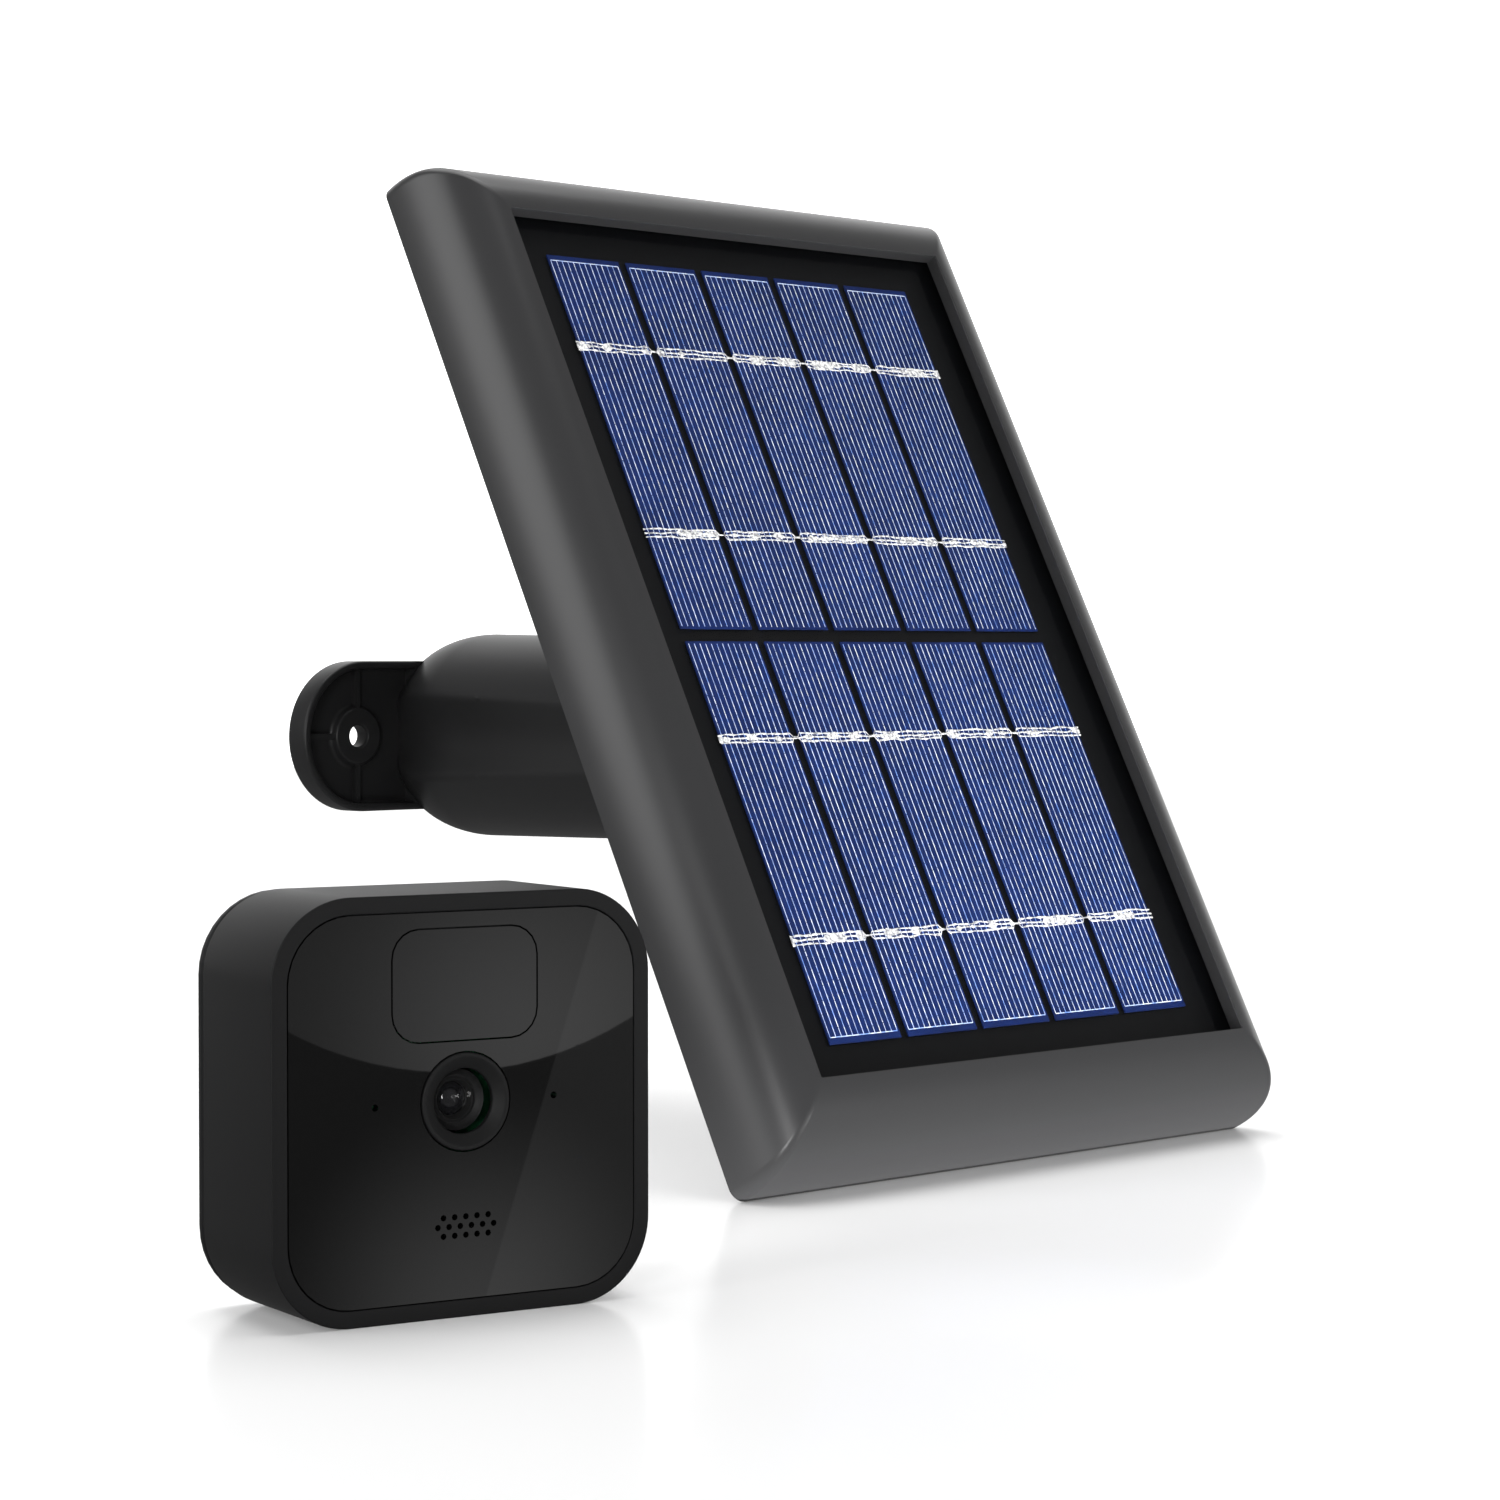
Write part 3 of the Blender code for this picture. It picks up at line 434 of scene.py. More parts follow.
class StageSettings(bpy.types.PropertyGroup):
    lens: FloatProperty(
        name="Lens", description="Focal length of the view camera in millimetres", default=86.4
    )
    tilt: FloatProperty(
        name="Tilt",
        description="How far the view camera looks down",
        default=math.radians(1.4957),
        subtype="ANGLE",
    )
    position: FloatVectorProperty(
        name="Position",
        description="Where the view camera stands",
        default=(-0.5729, -0.6836, 0.0192),
        subtype="XYZ",
    )
    heading: FloatVectorProperty(
        name="Heading",
        description="The view camera's level direction",
        default=(0.70327, 0.71092, 0.0),
        subtype="XYZ",
    )
    world: FloatProperty(
        name="World", description="Strength of the white surroundings", default=0.22
    )
    floor_glow: FloatProperty(
        name="Floor glow", description="Light that the floor gives off", default=0.12
    )
    wall_glow: FloatProperty(
        name="Wall glow", description="Light that the wall gives off", default=0.95
    )
    floor_gloss: FloatProperty(
        name="Floor gloss", description="Share of light that the floor mirrors", default=0.20
    )


# ---------------------------------------------------------------- solar panel
RAIL_POWER = 2.25
PANEL_OUTER = (80.85 * MM, 117.3 * MM)
WINDOW = (67.3 * MM, 100.6 * MM)
EDGE_SETBACK = 0.5 * MM  # how far the rail's edge is set back just under its front lip
RAIL_FRONT = 4.65 * MM
RAIL_BACK = -16.3 * MM
LIP_UNDER = 1.4 * MM
CAVITY = (70.2 * MM, 104.0 * MM)
LEDGE = (77.85 * MM, 114.3 * MM)
LEDGE_AT = -6.0 * MM
MITRE_EASE = 0.35 * MM  # radius of the mitres' ridge at the window
SIDE_EASE = 1.3 * MM  # what it gains evenly towards the frame's sides
BACK_EASE = 1.4 * MM  # what it gains close to the frame's back
COLUMNS, ROWS = 5, 2
REAR_SCREWS = 6
CELL = (20.9 * MM, 91.0 * MM)
PITCH = (23.12 * MM, 94.0 * MM)
TOP_MARGIN = 1.3 * MM  # plain cell beyond the end line, at the top row's upper end
BOTTOM_MARGIN = 1.5 * MM  # the same at the bottom row's lower end
INNER_MARGIN = 0.5 * MM
LINE_BASE = -0.01 * MM  # the conductor lines start just inside the cells
DASHES = 16  # breaks in a finger line, plus one


def panel_skin(steps):
    """The frame's rail is a quarter superellipse from its back outer edge to the window:
    across = 1 - cos(t) ** (2 / n) and height = sin(t) ** (2 / n). The four rails meet in mitres
    whose ridge is only slightly eased, and the back corners are rounder. Under its front lip the
    rail's edge is set back a little and curves in to the window again."""
    t = np.linspace(0, np.pi / 2, steps)
    across = 1 - np.cos(t) ** (2 / RAIL_POWER)
    height = np.sin(t) ** (2 / RAIL_POWER)
    half = [o - (o - w) * across for o, w in zip(PANEL_OUTER, WINDOW)]
    z = RAIL_BACK + (RAIL_FRONT - RAIL_BACK) * height
    corner = MITRE_EASE + SIDE_EASE * (1 - across) ** 0.8 + BACK_EASE * (1 - across) ** 5
    bend = np.linspace(0, np.pi / 2, 6)[1:]
    edge = EDGE_SETBACK * (1 - np.sin(bend))
    half = [np.concatenate([h, w + edge]) for h, w in zip(half, WINDOW)]
    z = np.concatenate([z, RAIL_FRONT - EDGE_SETBACK * (1 - np.cos(bend))])
    sizes = [WINDOW, CAVITY, CAVITY, LEDGE, LEDGE]
    half = [np.concatenate([h, [size[i] for size in sizes]]) for i, h in enumerate(half)]
    z = np.concatenate([z, [LIP_UNDER, LIP_UNDER, LEDGE_AT, LEDGE_AT, RAIL_BACK]])
    corner = np.concatenate([corner, np.full(len(z) - steps, MITRE_EASE)])
    rings = rounded_rings(half[0], half[1], corner, z, 10)
    faces = quads(rings.shape[0], rings.shape[1], True, True)
    return mesh_object("frame_skin", panel_place().row(rings), faces, 28.0)


def cell_centres():
    """Centres of the ten cells, row by row from the top left."""
    x = (np.arange(COLUMNS) - (COLUMNS - 1) / 2) * PITCH[0]
    y = ((ROWS - 1) / 2 - np.arange(ROWS)) * PITCH[1]
    x, y = np.meshgrid(x, y)
    return np.stack([x.ravel(), y.ravel()], axis=-1)


def finger_lines(count, width):
    """Fine printed lines along each cell, broken into dashes of random length."""
    draw = np.random.default_rng(7)
    centre = cell_centres()
    cells = len(centre)
    margin = np.where(centre[:, 1] > 0, TOP_MARGIN, BOTTOM_MARGIN)
    inward = np.sign(centre[:, 1]) * (margin - INNER_MARGIN) / 2
    span = (CELL[1] - margin - INNER_MARGIN)[:, None, None]
    bottom = (centre[:, 1] - inward)[:, None, None] - span / 2
    cut = np.sort(draw.uniform(0, 1, (cells, count, DASHES - 1)), axis=-1)
    cut = 0.8 * cut + 0.2 * np.arange(1, DASHES) / DASHES
    ends = np.concatenate([np.zeros((cells, count, 1)), cut, np.ones((cells, count, 1))], axis=-1)
    gap = draw.uniform(0.03, 0.25, (cells, count, DASHES)) * MM
    offset = (np.arange(count) - (count - 1) / 2) * CELL[0] * 0.94 / (count - 1)
    x = (centre[:, 0, None] + offset)[..., None] + np.zeros((1, 1, DASHES))
    low_y = bottom + ends[..., :-1] * span + gap / 2
    high_y = bottom + ends[..., 1:] * span - gap / 2
    half = width / 2 * draw.uniform(0.7, 1.15, x.shape)
    low = np.stack([x - half, low_y, np.full(x.shape, LINE_BASE)], axis=-1)
    high = np.stack([x + half, high_y, np.full(x.shape, 0.03 * MM)], axis=-1)
    points, faces = boxes(low.reshape(-1, 3), high.reshape(-1, 3))
    return mesh_object("finger_lines", panel_place().row(points), faces)


def end_lines():
    """The thin line that joins the fingers near the outer end of each cell."""
    x, y = cell_centres().T
    outward = np.sign(y)
    y = y + outward * (CELL[1] / 2 - np.where(outward > 0, TOP_MARGIN, BOTTOM_MARGIN))
    half_x, half_y = CELL[0] * 0.47, 0.10 * MM
    low = np.stack([x - half_x, y - half_y, np.full(x.shape, LINE_BASE)], axis=-1)
    high = np.stack([x + half_x, y + half_y, np.full(x.shape, 0.035 * MM)], axis=-1)
    points, faces = boxes(low, high)
    return mesh_object("end_lines", panel_place().row(points), faces)


def smooth_noise(draw, x, spacing):
    """Random heights every spacing, joined by a line, in -1 to 1."""
    count = int(np.ptp(x) / spacing) + 3
    knots = x.min() + spacing * np.arange(count)
    return np.interp(x, knots, draw.uniform(-1, 1, count))


def strand_rings(draw, x, centre, strand, width, heavy, inside):
    """Four-point sections along one strand of a strip. The outer strands, -1 and 1, are thin and
    uneven; the middle one, 0, widens in patches, by more where heavy is larger."""
    drift = 0.22 * MM * smooth_noise(draw, x, 2.5 * MM)
    middle = centre + strand * width * 0.33 * inside + drift
    if strand:
        rough = 0.20 * MM * (1 + 0.65 * smooth_noise(draw, x, 0.8 * MM))
        half = rough * (0.5 + 0.5 * inside)
    else:
        patch = np.clip(1.8 * smooth_noise(draw, x, 2.2 * MM) + 0.25, 0, 1)
        ragged = 1 + 0.5 * smooth_noise(draw, x, 0.5 * MM)
        half = width * (0.07 + 0.38 * heavy * patch * ragged * inside) * (0.5 + 0.5 * inside)
    top = (0.10 + 0.04 * smooth_noise(draw, x, 1.0 * MM)) * MM
    base = np.full(x.shape, -0.02 * MM)
    y = np.stack([middle - half, middle - half * 0.5, middle + half * 0.5, middle + half], -1)
    z = np.stack([base, top, top, base], -1)
    rings = np.stack([np.broadcast_to(x[:, None], y.shape), y, z], -1)
    tips = rings[[0, -1]].mean(1, keepdims=True).repeat(4, 1)
    return np.concatenate([tips[:1], rings, tips[1:]])


def busbars(width):
    """Soldered strips across the five columns: three uneven strands that draw together over the
    gaps between the cells."""
    draw = np.random.default_rng(11)
    last = (COLUMNS - 1) / 2 * PITCH[0]
    reach = last + CELL[0] / 2 + 0.6 * MM
    x = np.linspace(-reach, reach, 900)
    phase = (x / PITCH[0] + 0.5) % 1.0
    from_gap = np.minimum(phase, 1 - phase) * PITCH[0]
    inside = np.clip((from_gap - 0.7 * MM) / (0.7 * MM), 0, 1)
    inside[np.abs(x) > last + CELL[0] / 4] = 1.0
    strands = []
    for row in (0.5, -0.5):
        for quarter in (0.25, -0.25):
            centre = row * PITCH[1] + quarter * CELL[1]
            heavy = 0.8 if row * quarter > 0 else 0.5
            for strand in (-1, 0, 1):
                strands.append(strand_rings(draw, x, centre, strand, width, heavy, inside))
    points = np.stack(strands)
    rings = points.shape[1]
    first = rings * 4 * np.arange(len(strands))[:, None, None]
    faces = (quads(rings, 4, False, True)[None] + first).reshape(-1, 4)
    return mesh_object("busbars", panel_place().row(points), faces)


# ---------------------------------------------------------------- bracket
SCREW_X = 32.6 * MM
SHOULDER = 17.0 * MM  # how far the arm's rounded shoulder runs from the wall
ARM_LENGTH = 74.0 * MM  # how far the arm runs at its full thickness
SCOOP_FROM = 6.3 * MM  # where the scoop beside an ear starts to narrow
EAR_ROOT = 17.4 * MM  # how far an ear runs from its screw's axis into the arm


def placed_box(low, high):
    """Points and faces of one box between two corners given in millimetres on the arm."""
    points, faces = boxes(np.array([low]) * MM, np.array([high]) * MM)
    return arm_place().row(points), faces


def closed_bar(name, at, half, corner, ends):
    """A closed bar with rounded corners along the arm, in millimetres on the arm."""
    rings = rounded_rings([half[0]] * 2, [half[1]] * 2, [corner] * 2, np.array(ends), 8)
    middle = np.zeros((2, 1, 3))
    middle[:, 0, 2] = ends
    middle = np.broadcast_to(middle, rings.shape)
    grid = np.concatenate([middle[:1], rings, middle[1:]]) + [at[0], at[1], 0.0]
    return mesh_object(name, arm_place().row(grid * MM), quads(4, rings.shape[1], False, True))


def carved(obj, steps):
    """Applies Boolean steps to an object and removes the tools."""
    for operation, tool in steps:
        boolean = obj.modifiers.new(tool.name, "BOOLEAN")
        boolean.operation = operation
        boolean.object = tool
        boolean.solver = "EXACT"
    depsgraph = bpy.context.evaluated_depsgraph_get()
    mesh = bpy.data.meshes.new_from_object(obj.evaluated_get(depsgraph))
    obj.modifiers.clear()
    obj.data = mesh
    mesh.set_sharp_from_angle(angle=math.radians(40.0))
    for _, tool in steps:
        bpy.data.objects.remove(tool)
    return obj


def arm_skin():
    """The arm's radius is a quarter-ellipse shoulder, then a slow taper. Beside each ear it is
    cut back by a cone round the screw's axis, r = X cos d - sqrt(c^2 - X^2 sin^2 d), whose
    radius c shrinks along the arm; a soft minimum eases the edge between the two."""
    shoulder = np.linspace(0, SHOULDER, 24)
    along = np.concatenate([shoulder, np.linspace(SHOULDER, ARM_LENGTH, 50)[1:]])
    rise = np.clip(along / SHOULDER, 0, 1)
    radius = (17.5 + 7.0 * np.sqrt(1 - (1 - rise) ** 2)) * MM
    radius -= 1.0 * MM * np.clip((along - SHOULDER) / (ARM_LENGTH - SHOULDER), 0, 1)
    cone = 13.3 - 2.0 * np.clip((along - SCOOP_FROM) / (ARM_LENGTH - SCOOP_FROM), 0, 1)
    turn = np.linspace(0, 2 * np.pi, 160, endpoint=False)
    off = np.abs((turn + np.pi / 2) % np.pi - np.pi / 2)[None, :]
    inside = (cone[:, None] * MM) ** 2 - (SCREW_X * np.sin(off)) ** 2
    cut = SCREW_X * np.cos(off) - np.sqrt(np.maximum(inside, 0))
    scoop = np.where(inside > 0, cut, 60 * MM)
    sharpness = 1 / (1.8 * MM)
    body = radius[:, None] + 0 * off
    blend = -np.log(np.exp(-sharpness * body) + np.exp(-sharpness * scoop)) / sharpness
    corners = [(23.5, 74), (21.3, 76.2), (17.5, 76.2), (17.5, 92), (14.3, 92), (14.3, 84), (0, 84)]
    front = filleted(corners, 0.5)[1:] * MM
    front_r = np.repeat(front[:, :1], len(turn), axis=1)
    grid_r = np.concatenate([np.zeros((1, len(turn))), blend, front_r])
    grid_z = np.concatenate([[0.0], along, front[:, 1]])[:, None] + 0 * turn
    points = np.stack([grid_r * np.cos(turn), grid_r * np.sin(turn), grid_z], axis=-1)
    faces = quads(*grid_r.shape, False, True)
    arm = mesh_object("arm_skin", arm_place().row(points), faces, 40.0)
    # The wall face is a flat block, with two hollows from the wall up the arm.
    block = mesh_object("wall_block", *placed_box((-17.0, -17.97, 0.0), (17.0, 17.97, 6.4)))
    steps = [("UNION", block)]
    for name, x in (("left_hollow", -9.0), ("right_hollow", 9.0)):
        hollow = closed_bar(name, (x, 0.0), (5.75, 12.0), 3.0, (-1.0, 59.0))
        steps.append(("DIFFERENCE", hollow))
    return carved(arm, steps)


def ear_skin(side):
    """A tray round the screw hole. Each row of rings is radius, height and the share by which the
    ring goes from a stadium to a circle, so the rim is a stadium and the boss is round."""
    name = "ear_right_skin" if side > 0 else "ear_left_skin"
    rings = [
        (18.0, 0.03, 0.0),
        (18.0, 6.5, 0.0),
        (16.2, 6.5, 0.0),
        (16.0, 2.3, 0.0),
        (7.4, 2.3, 1.0),
        (6.6, 4.2, 1.0),
        (2.9, 4.2, 1.0),
        (2.6, 3.6, 1.0),
        (2.6, 0.03, 1.0),
    ]
    radii = np.array([0.3, 0.9, 0.7, 0.8, 0.8, 0.5, 0.2, 0.2, 0.1])
    ring = filleted(rings, radii, closed=True) * [MM, MM, 1.0]
    outward = np.linspace(-np.pi / 2, np.pi / 2, 64)
    inward = np.linspace(np.pi / 2, 3 * np.pi / 2, 34)[1:-1]
    turn = np.concatenate([outward, inward])
    radius, z, share = (ring[:, i : i + 1] for i in range(3))
    circle = np.stack([radius * np.cos(turn), radius * np.sin(turn)], axis=-1)
    # The stadium's inner half runs straight back into the arm and across it.
    t = np.linspace(0, 1, len(inward) + 2)[1:-1]
    back_x = -EAR_ROOT * np.clip(np.minimum(t, 1 - t) * 3, 0, 1)
    back_y = 1 - 2 * np.clip(3 * t - 1, 0, 1)
    stadium_x = np.concatenate([radius * np.cos(outward), back_x + 0 * radius], axis=1)
    stadium_y = np.concatenate([radius * np.sin(outward), back_y * radius], axis=1)
    stadium = np.stack([stadium_x, stadium_y], axis=-1)
    xy = (1 - share[..., None]) * stadium + share[..., None] * circle
    x = side * (SCREW_X + xy[..., 0])
    points = np.stack([x, xy[..., 1], z + 0 * x], axis=-1)
    return mesh_object(name, arm_place().row(points), quads(*x.shape, True, True), 50.0)


def ear_ribs(side):
    """Thin ribs from the boss to the rim: up, down and outwards."""
    name = "ear_right_ribs" if side > 0 else "ear_left_ribs"
    boss, rim, half, base, top = (size * MM for size in (6.0, 16.6, 0.7, 1.8, 3.7))
    x = side * SCREW_X
    near, far = sorted((x + side * boss, x + side * rim))
    low = [(x - half, boss, base), (x - half, -rim, base), (near, -half, base)]
    high = [(x + half, rim, top), (x + half, -boss, top), (far, half, top)]
    points, faces = boxes(np.array(low), np.array(high))
    return mesh_object(name, arm_place().row(points), faces)


def arc_points(radius, start, end, steps, centre=0.0):
    """Points (radius, z) on a circle about (0, centre), angles in degrees from the radius axis."""
    turn = np.radians(np.linspace(start, end, steps))
    return np.stack([radius * np.cos(turn), centre + radius * np.sin(turn)], axis=-1)


def ball_parts():
    """Lathed parts of the ball head, each with its body, look and node. The profiles are in
    millimetres: from the ball's centre along its stud, and from the wall along the arm."""
    ball, arm = ball_place(), arm_place()
    centre = -JOINTS["ball_tilt"]["pos_m"][1] / MM
    sphere = np.concatenate([arc_points(10.5, -90, 70.6, 60), [(3.475, 2.5), (0.0, 2.5)]])
    stud = np.array([(0, 40.7), (2.4, 40.7), (3.17, 39.9), (3.17, 2.8), (0, 2.8)])
    seat = arc_points(10.8, -90, -3, 24, centre)
    cup = np.concatenate([seat, filleted([(13.9, 96.1), (13.9, 84.4), (0, 84.4)], 0.4)])
    front = arc_points(10.8, 5, 31.8, 12, centre)
    outside = [(10.9, 104.0), (18.5, 104.0), (21.5, 100.0), (21.5, 76.6)]
    thread = [(17.85, 76.6), (17.85, 97.0)]
    ring = np.concatenate([front, filleted(outside + thread, 0.7)])
    return [
        (lathe("ball_skin", sphere * MM, ball, closed=False), "ball", "bracket", "ball_head"),
        (lathe("stud_skin", stud * MM, ball, closed=False), "ball", "steel", "threaded_stud"),
        (lathe("cup_skin", cup * MM, arm, closed=False), "socket_cup", "nylon", "socket_cup"),
        (lathe("ring_skin", ring * MM, arm, steps=120), "clamp_ring", "bracket", "clamp_ring"),
    ]


def nut_skin():
    """The lock nut: its rim is knurled, radius = R + k * cos(24 t), and the bore is smooth."""
    profile = filleted([(3.48, 30.9), (10.6, 30.9), (10.6, 24.7), (3.48, 24.7)], 0.8, closed=True)
    turn = np.linspace(0, 2 * np.pi, 240, endpoint=False)
    ripple = 0.35 * np.cos(24 * turn)[None, :] * (profile[:, :1] > 9.5)
    radius = (profile[:, :1] + ripple) * MM
    z = np.broadcast_to(profile[:, 1:] * MM, radius.shape)
    points = np.stack([radius * np.cos(turn), radius * np.sin(turn), z], axis=-1)
    return mesh_object("nut_skin", ball_place().row(points), quads(*radius.shape, True, True))


# ---------------------------------------------------------------- battery camera
CAMERA_HALF = 35.5  # millimetres, like the sections below
CAMERA_CORNER = 14.3
LENS_AT = (0.0, 0.6 * MM)


def shell_skin():
    """The camera's shell: rounded-square rings whose inset and height follow one section, from
    the back edge round the eased front rim to the ledge that the front plate sits on."""
    section = [
        (0.0, -27.0),
        (0.0, 0.0),
        (2.9, 0.0),
        (2.9, -2.2),
        (12.0, -2.2),
        (12.0, -4.5),
        (2.2, -4.5),
        (2.2, -27.0),
    ]
    radii = np.array([0.2, 0.28, 0.2, 0.1, 0.1, 0.1, 0.1, 0.1])
    ring = filleted(section, radii, closed=True, steps=8)
    inset = ring[:, 0]
    half = (CAMERA_HALF - inset) * MM
    corner = np.maximum(CAMERA_CORNER - inset, 1.0) * MM
    rings = rounded_rings(half, half, corner, ring[:, 1] * MM, 20)
    faces = quads(rings.shape[0], rings.shape[1], True, True)
    return mesh_object("shell_skin", camera_place().row(rings), faces)


def dome(radius, top, sphere, steps):
    """A convex face of a sphere from the axis out to radius, highest at top on the axis."""
    r = np.linspace(0, radius, steps)
    return np.stack([r, top - (sphere - np.sqrt(sphere**2 - r**2))], axis=-1)


def lens_parts():
    """Lathed rings and glass of the camera's lens, each with its look and node."""
    place = camera_place()
    rim = [(7.5, 0.2), (8.2, 0.2), (8.2, -1.9), (5.5, -1.9), (5.5, -0.9)]
    ring = filleted(rim, 0.25, closed=True) * MM
    steps = [(2.9, -5.4), (3.4, -4.0), (4.0, -4.4), (5.2, -3.4)]
    tube = [(5.2, -6.0), (6.0, -6.2), (6.0, -8.5), (3.4, -8.5)]
    barrel = filleted(steps + tube, 0.12, closed=True) * MM
    front = np.concatenate([dome(5.2, -0.8, 9.8, 30), [(5.2, -3.0), (0.0, -3.0)]]) * MM
    inner = np.concatenate([dome(2.85, -4.3, 3.6, 24), [(2.85, -7.6), (0.0, -7.6)]]) * MM
    return [
        (lathe("lens_ring_skin", ring, place, LENS_AT, 120), "lens_ring", "lens_ring"),
        (lathe("lens_barrel_skin", barrel, place, LENS_AT, 96), "lens_ring", "lens_barrel"),
        (lathe("lens_glass_skin", front, place, LENS_AT, 96, False), "lens_cover", "lens_front"),
        (lathe("inner_lens", inner, place, LENS_AT, 72, False), "lens_glass", None),
    ]


# ---------------------------------------------------------------- stage
def floor_at(x):
    """Height of the floor. It rises about three millimetres, as a smooth step, between the
    camera's base and the panel's lowest edge, so that both stand on it."""
    camera_low, camera_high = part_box("body_shell")
    panel_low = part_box("panel_frame")[0]
    share = np.clip((np.asarray(x) - camera_high[0]) / (panel_low[0] - camera_high[0]), 0, 1)
    return camera_low[2] + (panel_low[2] - camera_low[2]) * share**2 * (3 - 2 * share)


def backdrop(name, points, glow):
    """A white matt surface of the stage that also gives off some light."""
    part = mesh_object(name, points, quads(*points.shape[:2], False, False), 60.0)
    made, tree = new_material(name)
    shader = tree.nodes["Principled BSDF"]
    shader.inputs["Base Color"].default_value = (0.92, 0.92, 0.92, 1.0)
    shader.inputs["Roughness"].default_value = 0.9
    shader.inputs["Specular IOR Level"].default_value = 0.0
    shader.inputs["Emission Color"].default_value = (1.0, 1.0, 1.0, 1.0)
    shader.inputs["Emission Strength"].default_value = glow
    part.data.materials.append(made)
    return part


FLOOR_REACH = 4.5
WALL_FROM = 2.6  # where the floor starts to bend up, along the view from the origin
WALL_BEND = 1.2
WALL_TOP = 4.0
WALL_HALF = 5.0


def add_floor():
    """A white floor with a weak blurred reflection, and beyond it a bend of height
    R (1 - cos t) and distance R sin t that rises into a wall across the view."""
    settings = bpy.context.scene.solar_stage
    step = np.linspace(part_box("body_shell")[1][0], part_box("panel_frame")[0][0], 24)
    x = np.concatenate([[-FLOOR_REACH], step, [FLOOR_REACH]])
    grid_x, grid_y = np.meshgrid(x, [-FLOOR_REACH, FLOOR_REACH], indexing="ij")
    points = np.stack([grid_x, grid_y, floor_at(grid_x)], axis=-1)
    near = backdrop("floor", points, settings.floor_glow)
    heading = unit(settings.heading)
    side = np.array([heading[1], -heading[0], 0.0])
    bend = np.linspace(0, np.pi / 2, 24)
    run = np.concatenate([WALL_FROM + WALL_BEND * np.sin(bend), [WALL_FROM + WALL_BEND]])
    rise = np.concatenate([WALL_BEND * (1 - np.cos(bend)), [WALL_TOP]])
    across = np.array([-WALL_HALF, WALL_HALF])
    points = run[:, None, None] * heading + across[None, :, None] * side
    points[..., 2] += (floor_at(FLOOR_REACH) + rise)[:, None]
    wall = backdrop("wall", points, settings.wall_glow)
    tree = near.data.materials[0].node_tree
    matt = tree.nodes["Principled BSDF"]
    mix_to_surface(tree, settings.floor_gloss, matt, gloss_node(tree, 0.20))
    # The front plate mirrors the glow discs alone, and not the floor.
    near.visible_glossy = False


GLOW_DISTANCE = 0.9


def reflected_place(centre, distance):
    """Where a disc or light lies so that the view camera sees it mirrored in the front plate,
    centred on a plate point. Returns its place, parallel to the plate, and how much larger than
    its reflection it is."""
    plate = camera_place()
    eye = np.array(bpy.context.scene.solar_stage.position)
    out = plate.axes[2]
    mirrored = eye - 2 * np.dot(eye - plate.origin, out) * out
    ray = plate.row((*centre, 0.0)) - mirrored
    grow = (np.linalg.norm(ray) + distance) / np.linalg.norm(ray)
    return Place(mirrored + ray * grow, *plate.axes), grow


def add_reflected_light(name, centre, size, distance, radiance, roll):
    """A rectangular light that covers a rectangle of the given size in the plate's reflection."""
    place, grow = reflected_place(centre, distance)
    data = bpy.data.lights.new(name, "AREA")
    data.shape = "RECTANGLE"
    data.size = size[0] * grow
    data.size_y = size[1] * grow
    data.energy = radiance * math.pi * data.size * data.size_y
    obj = linked(name, data)
    # An area light shines along its own -z.
    out = place.axes[2]
    side = np.cos(roll) * place.axes[0] + np.sin(roll) * place.axes[1]
    turn = Matrix((Vector(side), Vector(np.cross(out, side)), Vector(out))).transposed().to_4x4()
    obj.matrix_world = Matrix.Translation(Vector(place.origin)) @ turn
    obj.visible_camera = False


def add_glow_disc(name, centre, radius, peak_at, peak_reach, low, high):
    """A glowing disc that only reflections show. Its strength falls from high at peak_at to low
    at peak_reach from there. All sizes are as seen in the front plate."""
    place, grow = reflected_place(centre, GLOW_DISTANCE)
    turn = np.linspace(0, 2 * np.pi, 96, endpoint=False)
    rim = radius * grow * np.stack([np.cos(turn), np.sin(turn), 0 * turn], axis=-1)
    rings = np.stack([rim, 0.5 * rim, 0 * rim])
    disc = mesh_object(name, place.row(rings), quads(*rings.shape[:2], False, True))
    made, tree = new_material(name)
    tree.nodes.remove(tree.nodes["Principled BSDF"])
    where = tree.nodes.new("ShaderNodeTexCoord")
    reach = tree.nodes.new("ShaderNodeVectorMath")
    reach.operation = "DISTANCE"
    step = np.array([peak_at[0] - centre[0], peak_at[1] - centre[1], 0.0]) * grow
    reach.inputs[1].default_value = place.row(step)
    strength = tree.nodes.new("ShaderNodeMapRange")
    strength.interpolation_type = "SMOOTHSTEP"
    strength.inputs["From Max"].default_value = peak_reach * grow
    strength.inputs["To Min"].default_value = high
    strength.inputs["To Max"].default_value = low
    glow = tree.nodes.new("ShaderNodeEmission")
    tree.links.new(where.outputs["Object"], reach.inputs[0])
    tree.links.new(reach.outputs["Value"], strength.inputs["Value"])
    tree.links.new(strength.outputs["Result"], glow.inputs["Strength"])
    tree.links.new(glow.outputs["Emission"], tree.nodes["Material Output"].inputs["Surface"])
    disc.data.materials.append(made)
    disc.visible_camera = False
    disc.visible_diffuse = False
    disc.visible_shadow = False
    disc.visible_transmission = False


def add_light(name, position, target, width, height, power):
    data = bpy.data.lights.new(name, "AREA")
    data.shape = "RECTANGLE"
    data.size = width
    data.size_y = height
    data.energy = power
    obj = linked(name, data)
    obj.location = position
    obj.rotation_euler = (Vector(target) - Vector(position)).to_track_quat("-Z", "Y").to_euler()
    return obj


